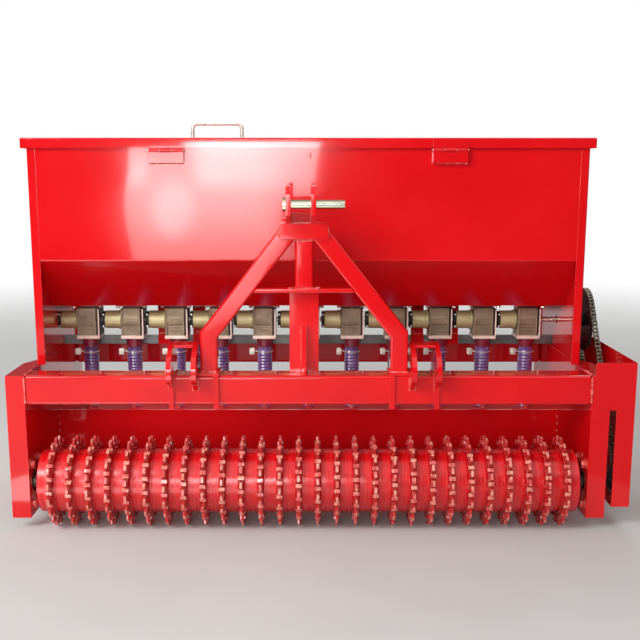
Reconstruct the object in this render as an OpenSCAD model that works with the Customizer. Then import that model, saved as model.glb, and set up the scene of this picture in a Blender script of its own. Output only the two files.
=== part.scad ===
// Tractor-mounted seed drill for grass and small grain.
// A toothed ring roller runs in front, a smooth ring roller behind, and eleven drop tubes between them
// are fed from a hopper by fluted metering units. A chain from the front roller drives the feed shaft.
// Millimetres. X runs across the machine, Y from the tractor side to the rear, Z up from the ground.

/* [Frame] */
// Inside width between the two side walls
inner_w = 1612; // [1500:2:1700]
// Thickness of each side wall
wall_t = 8; // [6:1:10]
// Width of the flanges and top plates that stiffen each side wall, measured outside the wall
side_flange_w = 46; // [30:1:60]
// Thickness of those flanges and top plates
side_flange_t = 5; // [3:0.5:6]
// Height of the frame's top face above the ground
frame_top = 457; // [430:1:480]
// Height of the side walls' feet above the ground
side_clear = 35; // [20:1:60]
// Height of the arch cut in each side wall between the rollers
arch_top = 120; // [80:1:180]
// Length of each foot of the side wall
foot_l = 122; // [110:1:150]
// Outside size of the square cross beams
beam_s = 85; // [60:1:100]
// Wall of the cross beams
beam_wall = 6; // [4:0.5:8]
// Distance from the front beam's face back to the roller shield
shield_y = 364; // [330:1:380]
// Height of the roller shield's top edge
shield_top_z = 270; // [240:1:330]
// Height of the roller shield's bottom edge
shield_bottom_z = 110; // [80:1:150]

/* [Rollers] */
// Distance from the front beam's face back to the front roller's axis
front_axis_y = 60; // [58:1:64]
// Distance between the two roller axes
axis_gap = 600; // [580:1:640]
// Radius over the rings, to the teeth's tips
ring_r = 131; // [122:1:140]
// Radius of the roller drums
drum_r = 92.5; // [80:0.5:100]
// Wall of the drums
drum_wall = 8; // [5:0.5:12]
// Gap between a drum's end and the side wall
drum_gap = 28; // [20:1:60]
// Number of rings on the front roller
ring_count = 28; // [20:1:28]
// Distance from a drum's end to the middle of the last front ring
ring_margin = 41; // [30:1:60]
// Thickness of a front ring
ring_t = 20; // [14:1:26]
// Number of teeth on a front ring
ring_teeth = 18; // [12:1:20]
// Height of those teeth
tooth_h = 18; // [8:1:20]
// Turn of each front ring against the one beside it, in degrees
ring_turn = 3.75; // [0:0.25:10]
// Width of a rear ring at its foot
rear_ring_foot = 42; // [30:1:46]
// Width of a rear ring at its rim
rear_ring_rim = 12; // [8:1:20]
// Radius of the roller shafts
shaft_r = 25; // [20:1:28]

/* [Hopper] */
// Distance from the front beam's face back to the hopper's front panel
hopper_front_y = 164; // [150:1:180]
// Distance from the front beam's face back to the feed shaft, which is the hopper's middle
feed_y = 442; // [430:1:450]
// Height of the bend where the panels start to slope inwards
fold_z = 768; // [740:1:820]
// Height of the hopper floor's underside
floor_z = 609; // [606:1:625]
// Half width of the hopper floor
floor_half = 81; // [75:1:100]
// Thickness of the hopper's sheets
sheet_t = 3; // [2:0.5:4]
// Width of the flanges along the end plates' front and rear edges
strip_w = 25; // [18:1:35]
// Height of the lid's top face
lid_top = 1121; // [1080:1:1180]
// Height of the flange round the lid
lid_flange_h = 29.5; // [20:0.5:40]
// Thickness of the lid's sheet
lid_t = 2.5; // [2:0.5:4]
// Gap between the lid's flange and the hopper's front and rear panels
lid_gap = 8.5; // [6:0.5:12]
// Gap between the lid's flange and the end plates
lid_side_gap = 12.5; // [6:0.5:20]
// Gap under the closed lid
lid_rest_gap = 0.3; // [0.2:0.1:1]

/* [Lid fittings] */
// Distance of each hinge from the machine's middle
hinge_x = 408; // [300:1:600]
// Width of a hinge
hinge_w = 100; // [80:1:140]
// Radius of the hinge knuckles
knuckle_r = 5.5; // [5:0.25:6]
// Radius of the hinge pins
hinge_pin_r = 3; // [2.5:0.25:3.5]
// Clearance of the hinge and bearing bores round what turns in them
running_gap = 0.05; // [0.02:0.01:0.1]
// Distance of the lid handle's middle from the machine's middle
handle_x = 304; // [200:1:450]
// Outside width of the lid handle
handle_w = 176; // [120:1:240]
// Height of the lid handle
handle_h = 67; // [40:1:80]
// Radius of the handle's bar
handle_r = 6; // [4:0.5:8]
// Distance from the lid's rear edge forward to the handle
handle_rear_gap = 90; // [60:1:200]

/* [Hitch] */
// Distance of the hitch's middle from the machine's middle
hitch_x = -12; // [-20:1:20]
// Distance of the top link's middle from the hitch's middle
link_x = -8; // [-12:1:12]
// Distance between the middles of the two lower link clevises
lower_span = 683; // [660:1:720]
// Height of the lower link pins
lower_pin_z = 478; // [470:1:490]
// Distance of the link pins in front of the beam's face
pin_out = 18; // [14:1:30]
// Height of the top link pin above the lower link pins
mast_h = 460; // [440:1:480]
// Height of the top link pin above the top of the mast's arms
link_rise = 60; // [46:1:66]
// Radius of the lower link pin holes
lower_bore_r = 11.2; // [11:0.1:12]
// Clear width between the two plates of a clevis
clevis_gap = 55; // [46:1:60]
// Thickness of the clevis plates
ear_t = 14; // [10:1:16]
// Radius of the ear round the lower link pin
ear_nose_r = 44; // [36:1:48]
// Radius of the top link pin
top_pin_r = 12.5; // [12:0.25:13]
// Radius of the pin's free end, turned down a little
top_pin_free_r = 12.2; // [11:0.1:12.2]
// Length of that free end, which sticks out on the right
top_pin_free_l = 78; // [60:1:90]
// Outside size of the mast's square tubes
mast_s = 50; // [40:1:60]
// Wall of the mast's tubes
mast_wall = 5; // [3:0.5:8]
// Gap between a mast foot and the inner plate of the clevis beside it
mast_foot_gap = 5; // [2:1:20]
// Height at which the mast arms bend inwards
mast_bend_z = 580; // [570:1:640]
// Distance from the mast's middle to an arm's outer edge at the top
mast_top_x = 60; // [50:1:61]
// Height of the mast's cross brace
brace_z = 692; // [660:1:740]

/* [Metering] */
// Number of metering units, an odd number
unit_count = 11; // [7:2:11]
// Distance from an end plate to the middle of the last unit
unit_margin = 98; // [96:1:106]
// Width of a metering housing
housing_w = 74; // [60:1:78]
// Radius of a housing's round body
housing_r = 38; // [34:1:42]
// Height of the feed shaft
feed_z = 553; // [548:1:556]
// Radius of the feed shaft
feed_shaft_r = 8; // [6:0.5:10]
// Length of the sleeve beside each housing
sleeve_l = 55; // [40:1:56]
// Radius of the sleeves
sleeve_r = 31; // [26:1:34]
// Height of the housings' bottom flange
spout_z = 494; // [488:1:500]
// Height of a funnel
funnel_h = 28; // [20:1:34]
// Outside radius of a funnel's mouth
funnel_r = 27; // [26:0.5:34]
// Outside radius of the drop tubes
tube_r = 25; // [20:0.5:25.5]
// Wall of the drop tubes
tube_wall = 3; // [2:0.5:4]
// Height of the drop tubes' open lower ends
tube_end_z = 95; // [70:1:140]

/* [Chain drive] */
// Distance from the side wall's flanges out to the middle of the chain
chain_gap = 38; // [34:1:46]
// Pitch of the chain
chain_pitch = 12.7; // [12.7, 15.875]
// Teeth of the sprocket on the front roller
drive_teeth = 16; // [14:2:18]
// Teeth of the sprocket on the feed shaft
feed_teeth = 48; // [42:6:54]
// Thickness of the sprockets
sprocket_t = 7; // [6:0.5:7.5]
// Distance from the chain to the guard's outer face
guard_out = 32; // [28:1:45]
// Thickness of the guard's sheet
guard_t = 3; // [2:0.5:4]

/* [Hidden] */
$fn = 64;

RED = [0.80, 0.06, 0.06];
STEEL = [0.72, 0.72, 0.70];
CASTING = [0.52, 0.47, 0.38];
ZINC = [0.66, 0.60, 0.40];
DARK = [0.20, 0.20, 0.21];

// Frame
half_in = inner_w / 2;
half_out = half_in + wall_t;
half_flange = half_out + side_flange_w;
rear_axis_y = front_axis_y + axis_gap;
frame_l = rear_axis_y + front_axis_y;
foot_rise = arch_top - side_clear;
top_plate_short_l = 185;
top_plate_long_l = 298;
shaft_hole_gap = 7;
shaft_hole_r = shaft_r + shaft_hole_gap;
// Overrun of cuts past the faces they open
cut = 1;

// Hopper
hopper_rear_y = 2 * feed_y - hopper_front_y;
end_t = 4;
end_inset = 2;
end_out = half_out - end_inset;
end_in = end_out - end_t;
rim_z = lid_top - lid_t - lid_rest_gap;
panel_half = end_out - strip_w;
floor_front_y = feed_y - floor_half;
outlet_l = 50;
shaft_cut_gap = 5;
shaft_cut_r = feed_shaft_r + shaft_cut_gap;

// The mitred inner corners where the hopper's sheets bend from upright to sloping and to the floor
slope = [floor_front_y - hopper_front_y, floor_z - fold_z];
slope_n = [-slope[1], slope[0]] / norm(slope);
fold_in = [hopper_front_y, fold_z] + ([1, 0] + slope_n) * sheet_t / (1 + slope_n[0]);
foot_in = [floor_front_y, floor_z] + slope_n * sheet_t;

// Lid
lid_front = hopper_front_y - lid_gap - lid_t;
lid_rear = hopper_rear_y + lid_gap + lid_t;
lid_half = end_out + lid_side_gap + lid_t;
lid_bottom = lid_top - lid_flange_h;
hinge_out = 4;
hinge_y = lid_front - hinge_out;
hinge_z = lid_bottom - knuckle_r;
knuckle_gap = 1;
knuckle_l = (hinge_w - 2 * knuckle_gap) / 3;
leaf_t = 2.5;
leaf_h = 30;
lid_leaf_h = 22;
leaf_top = hinge_z - knuckle_r - knuckle_gap;
knuckle_web_t = 4;
pin_end = 2;
handle_bend = 16;
handle_leg_x = handle_w / 2 - handle_r;

// Hitch
half_span = lower_span / 2;
ear_in = half_span - clevis_gap / 2 - ear_t;
ear_out = half_span + clevis_gap / 2 + ear_t;
mast_foot_x = ear_in - mast_foot_gap - mast_s / 2;
ear_rise = 88;
ear_top = frame_top + ear_rise;
ear_back_rise = 40;
ear_back_slope = 18;
ear_front_y = 5;
ear_tangent = 58;
ear_under = 42;
tie_t = 8;
tie_y = 6;
strap_t = 10;
strap_w = 16;
strap_drop = 10;
strap_side = 21;
strap_in = 10;
top_pin_z = lower_pin_z + mast_h;
mast_top = top_pin_z - link_rise;
mast_y = 14;
base_t = 8;
base_margin = 6;
base_rear_gap = 4;
link_ear_r = 28.5;
link_ear_rise = 53;
link_ear_drop = 30;
link_ear_top = top_pin_z + link_ear_rise;
link_ear_low = top_pin_z - link_ear_drop;
link_back_in = 20;
link_back_y = mast_y + link_back_in;
link_back_t = 8;
link_back_h = 28;
pin_head_t = 8;
pin_head_x = clevis_gap / 2 + ear_t;
pin_head_r = 19;
pin_cross_r = 4;
pin_cross_in = 15;
arm_run = (mast_foot_x + mast_s / 2 - mast_top_x) / (mast_top - mast_bend_z);
arm_slant = sqrt(1 + arm_run * arm_run);
brace_t = 12;
brace_d = 70;
brace_over = 4;
brace_front_y = mast_y - brace_over;
post_plate_w = 84;
post_plate_t = 10;
post_plate_y = mast_y + mast_s - post_plate_t;
rib_t = 14;
rib_h = 138;
rib_front_y = 4;
rib_front_h = 20;
rib_top_l = 14;
head_half = 67;
head_h = 36;
head_t = 10;

// Metering
unit_first = -(unit_count - 1) / 2;
unit_pitch = 2 * (end_in - unit_margin) / (unit_count - 1);
unit_bore_gap = 1;
unit_bore_r = feed_shaft_r + unit_bore_gap;
flange_t = 8;
flange_w = 96;
flange_half_d = 44;
spout_half = 34;
tube_play = 0.3;
spigot_r = tube_r - tube_wall - tube_play;
tube_top = spout_z - funnel_h;
spigot_l = 26;
funnel_wall = 3;
tube_seat = 1;
clamp_t = 2;
clamp_w = 10;
clamp_drop = 20;
clamp_screw_l = 9;
clamp_screw_d = 8;
guide_t = 6;
guide_z = shield_top_z - guide_t;
guide_margin = 14;
bar_gap = 2;
bar_y = feed_y + flange_half_d + bar_gap;
bar_t = 6;
bar_h = 30;
bar_z = spout_z - bar_h;
bracket_w = 42;
bracket_t = 5;
bracket_under = 4;
// Places of the brackets, counted in units from the machine's middle
bracket_counts = [-3.35, -2.54, 2.54, 3.35];
feed_bearing_w = 18;
feed_bearing_r = 30;
feed_bearing_t = 6;
feed_hub_r = 18;
feed_shaft_over = 6;

// Bearings of the rollers
bearing_w = 112;
bearing_h = 150;
bearing_plate_t = 14;
bearing_hub_r = 44;
bearing_hub_l = 38;
bearing_front_gap = 4;
shaft_over = 6;
shaft_end = half_out + bearing_hub_l + shaft_over;
weld_gap = 0.1;
drive_bore_r = 15;

// Drums and rings
drum_l = inner_w - 2 * drum_gap;
drum_disc_t = 10;
ring_pitch = (drum_l - 2 * ring_margin) / (ring_count - 1);
// Points of a ring's tooth: share of the tooth's angle, and distance beyond the ring's radius
ring_tooth_points = [[0, 0], [0.2, 0], [0.3, -tooth_h], [0.9, -tooth_h]];
rim_chamfer_w = 4;
rim_chamfer_h = 8;

// Chain drive
chain_x = half_flange + chain_gap;
drive_r = chain_pitch / (2 * sin(180 / drive_teeth));
feed_r = chain_pitch / (2 * sin(180 / feed_teeth));
plate_half = 5.6;
plate_t = 3;
plate_in = sprocket_t / 2 + 0.5;
roller_r = 4.2;
tooth_root = 4.4;
tooth_tip = 3.4;
// Points of a tooth: share of the tooth's angle, and distance beyond the pitch circle
tooth_points = [[-0.30, -tooth_root], [-0.12, tooth_tip], [0.12, tooth_tip], [0.30, -tooth_root]];
hub_l = 14;
drive_hub_r = 19;
feed_hub_out_r = 22;
axes_d = sqrt(pow(feed_y - front_axis_y, 2) + pow(feed_z - ring_r, 2));
axes_angle = atan2(feed_z - ring_r, feed_y - front_axis_y);
wrap_angle = asin((feed_r - drive_r) / axes_d);
run_l = sqrt(axes_d * axes_d - pow(feed_r - drive_r, 2));
shaft_tail = 12;
shaft_right = chain_x + shaft_tail;
guard_outer = chain_x + guard_out;
guard_in = 20;
guard_inner = chain_x - guard_in;
guard_bottom = 70;
guard_rise = 38;
guard_top = frame_top + guard_rise;
guard_low_drop = 15;
guard_low = frame_top - beam_s - guard_low_drop;
guard_gap = 18;
guard_rear = feed_y + feed_r + guard_gap;
guard_toe_l = 52;
guard_toe = front_axis_y + guard_toe_l;

// The origin is the middle of the whole machine's outline, on the ground.
x_max = guard_outer;
x_min = -half_flange;
y_min = min(-pin_out - ear_nose_r, front_axis_y - ring_r);
y_max = max(lid_rear, rear_axis_y + ring_r);
mid_x = (x_max + x_min) / 2;
mid_y = (y_max + y_min) / 2;

// Axis-aligned block between two corners
module block(low, high) translate(low) cube(high - low);

// Round bar along X
module bar_x(x0, x1, y, z, r) translate([x0, y, z]) rotate([0, 90, 0]) cylinder(h = x1 - x0, r = r);

// Sheet or plate whose outline is drawn in the side view
module side_plate(x0, x1, outline)
    translate([x0, 0, 0]) rotate([90, 0, 90]) linear_extrude(x1 - x0) polygon(outline);

// Sheet or plate whose outline is drawn in the front view
module front_plate(y0, y1, outline)
    translate([0, y1, 0]) rotate([90, 0, 0]) linear_extrude(y1 - y0) polygon(outline);

// The same piece again on the other side of the machine's middle
module both_sides() {
    children();
    mirror([1, 0, 0]) children();
}

// Moves a piece from the machine's own layout to the shared origin
module placed() translate([-mid_x, -mid_y, 0]) children();

// The same for a piece of the hitch, whose X runs from the hitch's middle
module hitch_placed() placed() translate([hitch_x, 0, 0]) children();

// Square tube across the machine between the side walls
module cross_beam(y0) difference() {
    block([-half_in, y0, frame_top - beam_s], [half_in, y0 + beam_s, frame_top]);
    block([-half_in - cut, y0 + beam_wall, frame_top - beam_s + beam_wall],
          [half_in + cut, y0 + beam_s - beam_wall, frame_top - beam_wall]);
}

module front_beam() color(RED) placed() cross_beam(0);

module rear_beam() color(RED) placed() cross_beam(frame_l - beam_s);

// Right side wall with its flanges and top plates
module side_frame() difference() {
    union() {
        side_plate(half_in, half_out, [
            [0, side_clear], [foot_l, side_clear], [foot_l + foot_rise, arch_top],
            [frame_l - foot_l - foot_rise, arch_top], [frame_l - foot_l, side_clear],
            [frame_l, side_clear], [frame_l, frame_top], [0, frame_top]]);
        block([half_in, 0, side_clear], [half_flange, side_flange_t, frame_top]);
        block([half_in, frame_l - side_flange_t, side_clear], [half_flange, frame_l, frame_top]);
        side_top_plate();
        translate([0, frame_l, 0]) mirror([0, 1, 0]) side_top_plate();
    }
    for (y = [front_axis_y, rear_axis_y])
        bar_x(half_in - cut, half_out + cut, y, ring_r, shaft_hole_r);
}

// Top plate over the front or rear part of a side wall
module side_top_plate() translate([0, 0, frame_top - side_flange_t]) linear_extrude(side_flange_t)
    polygon([[half_in, 0], [half_flange, 0], [half_flange, top_plate_short_l], [half_out, top_plate_long_l],
             [half_in, top_plate_long_l]]);

module side_frame_left() color(RED) placed() mirror([1, 0, 0]) side_frame();

module side_frame_right() color(RED) placed() side_frame();

// Upright sheet behind the front roller
module roller_shield() color(RED) placed()
    block([-half_in, shield_y, shield_bottom_z], [half_in, shield_y + sheet_t, shield_top_z]);

// Right end plate of the hopper, folded inwards along its front and rear edges
module end_plate() difference() {
    union() {
        block([end_in, hopper_front_y, frame_top], [end_out, hopper_rear_y, rim_z]);
        block([panel_half, hopper_front_y, frame_top], [end_out, hopper_front_y + sheet_t, rim_z]);
        block([panel_half, hopper_rear_y - sheet_t, frame_top], [end_out, hopper_rear_y, rim_z]);
    }
    bar_x(end_in - cut, end_out + cut, feed_y, feed_z, shaft_cut_r);
}

module end_plate_left() color(RED) placed() mirror([1, 0, 0]) end_plate();

module end_plate_right() color(RED) placed() end_plate();

// Upright panel and the sloping panel below it, bent from one sheet
module hopper_panel() difference() {
    side_plate(-end_in, end_in, [
        [hopper_front_y, rim_z], [hopper_front_y, fold_z], [floor_front_y, floor_z], foot_in, fold_in,
        [hopper_front_y + sheet_t, rim_z]]);
    both_sides()
        block([panel_half, hopper_front_y - cut, floor_z],
              [end_in + cut, hopper_front_y + sheet_t, rim_z + cut]);
}

module hopper_front() color(RED) placed() hopper_panel();

module hopper_rear() color(RED) placed() translate([0, 2 * feed_y, 0]) mirror([0, 1, 0]) hopper_panel();

// Floor sheet with an outlet over each metering unit
module hopper_floor() color(RED) placed() difference() {
    side_plate(-end_in, end_in, [
        [floor_front_y, floor_z], [2 * feed_y - floor_front_y, floor_z],
        [2 * feed_y - foot_in[0], foot_in[1]], foot_in]);
    for (i = [0 : unit_count - 1]) unit_at(i)
        block([-outlet_l / 2, feed_y - outlet_l / 2, floor_z - cut],
              [outlet_l / 2, feed_y + outlet_l / 2, floor_z + sheet_t + cut]);
}

// Place of metering unit i along the hopper
module unit_at(i) translate([(unit_first + i) * unit_pitch, 0, 0]) children();

// Edges of a sloping mast arm at height z, with the tube's wall taken off by inset
function arm_outer(z, inset) = mast_top_x + (mast_top - z) * arm_run - inset * arm_slant;
function arm_inner(z, inset) = mast_top_x + (mast_top - z) * arm_run - (mast_s - inset) * arm_slant;

// Height at which an edge of a sloping arm is at a distance from the middle
function arm_outer_z(x, inset) = mast_top - (x + inset * arm_slant - mast_top_x) / arm_run;
function arm_inner_z(x, inset) = mast_top - (x + (mast_s - inset) * arm_slant - mast_top_x) / arm_run;

// Right half of the mast's outline, from the middle down the inner edge and up the outer edge
function arm_half(inset, foot_z) = [
    [max(0, arm_inner(mast_top - inset, inset)), mast_top - inset],
    [max(0, arm_inner(mast_top - inset, inset)), min(mast_top - inset, arm_inner_z(0, inset))],
    [mast_foot_x - mast_s / 2 + inset, arm_inner_z(mast_foot_x - mast_s / 2 + inset, inset)],
    [mast_foot_x - mast_s / 2 + inset, foot_z],
    [mast_foot_x + mast_s / 2 - inset, foot_z],
    [mast_foot_x + mast_s / 2 - inset, arm_outer_z(mast_foot_x + mast_s / 2 - inset, inset)],
    [arm_outer(mast_top - inset, inset), mast_top - inset]];

// Both arms of square tube, welded together at the top
module mast_arms() color(RED) hitch_placed() difference() {
    union() both_sides() front_plate(mast_y, mast_y + mast_s, arm_half(0, frame_top + base_t));
    both_sides() front_plate(mast_y + mast_wall, mast_y + mast_s - mast_wall,
                             arm_half(mast_wall, frame_top + base_t - cut));
}

// Cross plate over the arms' top with the two ears of the top link
module mast_head() color(RED) hitch_placed() {
    block([-head_half, mast_y - head_t, mast_top - head_h], [head_half, mast_y, mast_top]);
    block([-head_half, mast_y - head_t, mast_top], [head_half, mast_y + mast_s, mast_top + base_t]);
    translate([link_x, 0, 0]) {
        both_sides() link_ear();
        block([-clevis_gap / 2, link_back_y, mast_top + base_t],
              [clevis_gap / 2, link_back_y + link_back_t, mast_top + base_t + link_back_h]);
    }
}

// Right ear of the top link
module link_ear() difference() {
    union() {
        side_plate(clevis_gap / 2, clevis_gap / 2 + ear_t, [
            [-pin_out - link_ear_r, link_ear_top - link_ear_r], [-pin_out - link_ear_r, link_ear_low],
            [mast_y - head_t, mast_top + base_t], [mast_y + mast_s, mast_top + base_t],
            [-pin_out + link_ear_r, link_ear_top - link_ear_r]]);
        bar_x(clevis_gap / 2, clevis_gap / 2 + ear_t, -pin_out, link_ear_top - link_ear_r, link_ear_r);
    }
    bar_x(clevis_gap / 2 - cut, clevis_gap / 2 + ear_t + cut, -pin_out, top_pin_z, top_pin_r);
}

// Pin with a head on the left, and a cross hole near the end that sticks out on the right
module top_link_pin() color(STEEL) hitch_placed() translate([link_x, 0, 0]) difference() {
    union() {
        bar_x(-pin_head_x, pin_head_x, -pin_out, top_pin_z, top_pin_r);
        bar_x(pin_head_x, pin_head_x + top_pin_free_l, -pin_out, top_pin_z, top_pin_free_r);
        bar_x(-pin_head_x - pin_head_t, -pin_head_x, -pin_out, top_pin_z, pin_head_r);
    }
    translate([pin_head_x + top_pin_free_l - pin_cross_in, -pin_out, top_pin_z - 2 * top_pin_r])
        cylinder(h = 4 * top_pin_r, r = pin_cross_r);
}

// Flat brace between the arms' inner edges
module mast_brace() color(RED) hitch_placed() front_plate(brace_front_y, brace_front_y + brace_d, [
    [-arm_inner(brace_z, 0), brace_z], [arm_inner(brace_z, 0), brace_z],
    [arm_inner(brace_z + brace_t, 0), brace_z + brace_t],
    [-arm_inner(brace_z + brace_t, 0), brace_z + brace_t]]);

// Square tube from the brace up into the fork of the arms
module mast_post_upper() color(RED) hitch_placed() difference() {
    block([-mast_s / 2, mast_y, brace_z + brace_t], [mast_s / 2, mast_y + mast_s, arm_inner_z(mast_s / 2, 0)]);
    block([-mast_s / 2 + mast_wall, mast_y + mast_wall, brace_z + brace_t - cut],
          [mast_s / 2 - mast_wall, mast_y + mast_s - mast_wall, arm_inner_z(mast_s / 2, 0) + cut]);
}

// Wide plate from the beam up to the brace, with a rib in front of it
module mast_post_lower() color(RED) hitch_placed() {
    block([-post_plate_w / 2, post_plate_y, frame_top], [post_plate_w / 2, mast_y + mast_s, brace_z]);
    side_plate(-rib_t / 2, rib_t / 2, [
        [rib_front_y, frame_top], [post_plate_y, frame_top], [post_plate_y, frame_top + rib_h],
        [post_plate_y - rib_top_l, frame_top + rib_h], [rib_front_y, frame_top + rib_front_h]]);
}

// Base plates under the arms, each with a strap down the beam's front face
module mast_feet() color(RED) hitch_placed() both_sides() {
    block([mast_foot_x - mast_s / 2 - base_margin, 0, frame_top],
          [ear_in, beam_s - base_rear_gap, frame_top + base_t]);
    block([mast_foot_x - strap_w / 2 - strap_side, -strap_t, frame_top - beam_s - strap_drop],
          [mast_foot_x + strap_w / 2 - strap_side, 0, frame_top + base_t]);
}

// Outline of a lower link ear, seen from the side
function ear_outline() = [
    [0, frame_top - ear_under], [-pin_out, lower_pin_z - ear_nose_r], [-pin_out, lower_pin_z],
    [-pin_out - ear_nose_r * cos(ear_tangent), lower_pin_z + ear_nose_r * sin(ear_tangent)],
    [ear_front_y, ear_top], [beam_s - ear_back_slope, ear_top],
    [beam_s, frame_top + ear_back_rise], [beam_s, frame_top], [0, frame_top]];

// Two ears of the right lower link clevis with the plate that ties them
module lower_ears() {
    for (x = [ear_in, ear_out - ear_t]) difference() {
        union() {
            side_plate(x, x + ear_t, ear_outline());
            bar_x(x, x + ear_t, -pin_out, lower_pin_z, ear_nose_r);
        }
        bar_x(x - cut, x + ear_t + cut, -pin_out, lower_pin_z, lower_bore_r);
        block([x - cut, 0, frame_top - beam_s], [x + ear_t + cut, beam_s, frame_top]);
    }
    block([ear_in + ear_t, tie_y, ear_top - tie_t], [ear_out - ear_t, beam_s - ear_back_slope, ear_top]);
    block([ear_out - ear_t, -strap_t, frame_top - beam_s - strap_drop],
          [ear_out, 0, frame_top - ear_under + strap_in]);
}

module lower_ears_left() color(RED) hitch_placed() mirror([1, 0, 0]) lower_ears();

module lower_ears_right() color(RED) hitch_placed() lower_ears();

// Cast housing: mounting flange, neck, round body and outlet flange
module meter_housings() color(CASTING) placed() for (i = [0 : unit_count - 1]) unit_at(i) difference() {
    union() {
        block([-flange_w / 2, feed_y - flange_half_d, floor_z - flange_t],
              [flange_w / 2, feed_y + flange_half_d, floor_z]);
        block([-housing_w / 2, feed_y - housing_r, feed_z],
              [housing_w / 2, feed_y + housing_r, floor_z - flange_t]);
        bar_x(-housing_w / 2, housing_w / 2, feed_y, feed_z, housing_r);
        block([-spout_half, feed_y - spout_half, spout_z], [spout_half, feed_y + spout_half, feed_z]);
        block([-housing_w / 2, feed_y - housing_r, spout_z],
              [housing_w / 2, feed_y + housing_r, spout_z + flange_t]);
    }
    bar_x(-housing_w / 2 - cut, housing_w / 2 + cut, feed_y, feed_z, unit_bore_r);
}

// Zinc-plated sleeve on the left of each housing
module meter_sleeves() color(ZINC) placed() for (i = [0 : unit_count - 1]) unit_at(i) difference() {
    bar_x(-housing_w / 2 - sleeve_l, -housing_w / 2, feed_y, feed_z, sleeve_r);
    bar_x(-housing_w / 2 - sleeve_l - cut, -housing_w / 2 + cut, feed_y, feed_z, unit_bore_r);
}

// Open funnels under the housings, each with a spigot for its drop tube
module seed_funnels() color([0.55, 0.12, 0.16]) placed() for (i = [0 : unit_count - 1]) unit_at(i)
    translate([0, feed_y, tube_top - spigot_l]) rotate_extrude() polygon([
        [spigot_r - funnel_wall, 0], [spigot_r, 0], [spigot_r, spigot_l - tube_seat], [tube_r, spigot_l],
        [funnel_r, spigot_l + funnel_h], [funnel_r - funnel_wall, spigot_l + funnel_h],
        [spigot_r - funnel_wall, spigot_l]]);

module drop_tubes() color([0.35, 0.33, 0.62]) placed() for (i = [0 : unit_count - 1]) unit_at(i)
    translate([0, feed_y, tube_end_z]) difference() {
        cylinder(h = tube_top - tube_seat - tube_play - tube_end_z, r = tube_r);
        translate([0, 0, -cut]) cylinder(h = tube_top + 2 * cut - tube_end_z, r = tube_r - tube_wall);
    }

module tube_clamps() color(STEEL) placed() for (i = [0 : unit_count - 1]) unit_at(i)
    translate([0, feed_y, tube_top - clamp_drop]) {
        difference() {
            cylinder(h = clamp_w, r = tube_r + tube_play + clamp_t);
            translate([0, 0, -cut]) cylinder(h = clamp_w + 2 * cut, r = tube_r + tube_play);
        }
        translate([-tube_r - clamp_t - clamp_screw_l, -clamp_screw_d * 3 / 4, 0])
            cube([clamp_screw_l, clamp_screw_d, clamp_w]);
    }

// Flat plate behind the roller shield's top edge with a hole for each drop tube
module tube_guide() color(RED) placed() difference() {
    block([-half_in, shield_y + sheet_t, guide_z],
          [half_in, feed_y + tube_r + guide_margin, guide_z + guide_t]);
    for (i = [0 : unit_count - 1]) unit_at(i)
        translate([0, feed_y, guide_z - cut]) cylinder(h = guide_t + 2 * cut, r = tube_r + tube_play);
}

// Flat bar behind the housings' outlets, between the end plates
module spout_bar() color([0.50, 0.50, 0.50]) placed()
    block([-end_in, bar_y, bar_z], [end_in, bar_y + bar_t, bar_z + bar_h]);

// Brackets that carry the bar from the hopper floor
module spout_brackets() color(RED) placed() for (x = bracket_counts * unit_pitch)
    block([x - bracket_w / 2, bar_y + bar_t, bar_z - bracket_under],
          [x + bracket_w / 2, bar_y + bar_t + bracket_t, floor_z]);

module feed_shaft() color(STEEL) placed()
    bar_x(-end_out - feed_bearing_w - feed_shaft_over, shaft_right, feed_y, feed_z, feed_shaft_r);

module feed_bearings() color(DARK) placed() both_sides() difference() {
    union() {
        bar_x(end_out, end_out + feed_bearing_t, feed_y, feed_z, feed_bearing_r);
        bar_x(end_out, end_out + feed_bearing_w, feed_y, feed_z, feed_hub_r);
    }
    bar_x(end_out - cut, end_out + feed_bearing_w + cut, feed_y, feed_z, feed_shaft_r + running_gap);
}

// Toothed sprocket with a hub towards the machine, centred on the chain
module sprocket(teeth, pitch_r, y, z, bore, hub_r)
    translate([chain_x, y, z]) rotate([90, 0, 90]) difference() {
    union() {
        translate([0, 0, -sprocket_t / 2]) linear_extrude(sprocket_t)
            polygon([for (i = [0 : teeth - 1], k = tooth_points)
                let (a = axes_angle + 90 + (i + 0.5 + k[0]) * 360 / teeth, r = pitch_r + k[1])
                [r * cos(a), r * sin(a)]]);
        translate([0, 0, -sprocket_t / 2 - hub_l]) cylinder(h = hub_l + sprocket_t, r = hub_r);
    }
    translate([0, 0, -sprocket_t / 2 - hub_l - cut]) cylinder(h = hub_l + sprocket_t + 2 * cut, r = bore);
}

module feed_sprocket() color(DARK) placed()
    sprocket(feed_teeth, feed_r, feed_y, feed_z, feed_shaft_r, feed_hub_out_r);

// Small sprocket pressed on the stepped end of the front roller's shaft
module drive_sprocket() color(DARK) placed()
    sprocket(drive_teeth, drive_r, front_axis_y, ring_r, drive_bore_r, drive_hub_r);

// Drum: a tube with a disc welded in each end
module drum(y) difference() {
    bar_x(-drum_l / 2, drum_l / 2, y, ring_r, drum_r);
    bar_x(-drum_l / 2 + drum_disc_t, drum_l / 2 - drum_disc_t, y, ring_r, drum_r - drum_wall);
    bar_x(-drum_l / 2 - cut, drum_l / 2 + cut, y, ring_r, shaft_r + weld_gap);
}

module front_drum() color(RED) placed() drum(front_axis_y);

module rear_drum() color(RED) placed() drum(rear_axis_y);

// Side outline of a front ring, with one tooth's edge straight down where the turn is nought
function ring_outline(turn) = [for (i = [0 : ring_teeth - 1], k = ring_tooth_points)
    let (a = turn + (i + k[0]) * 360 / ring_teeth, r = ring_r + k[1]) [r * cos(a), r * sin(a)]];

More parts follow.
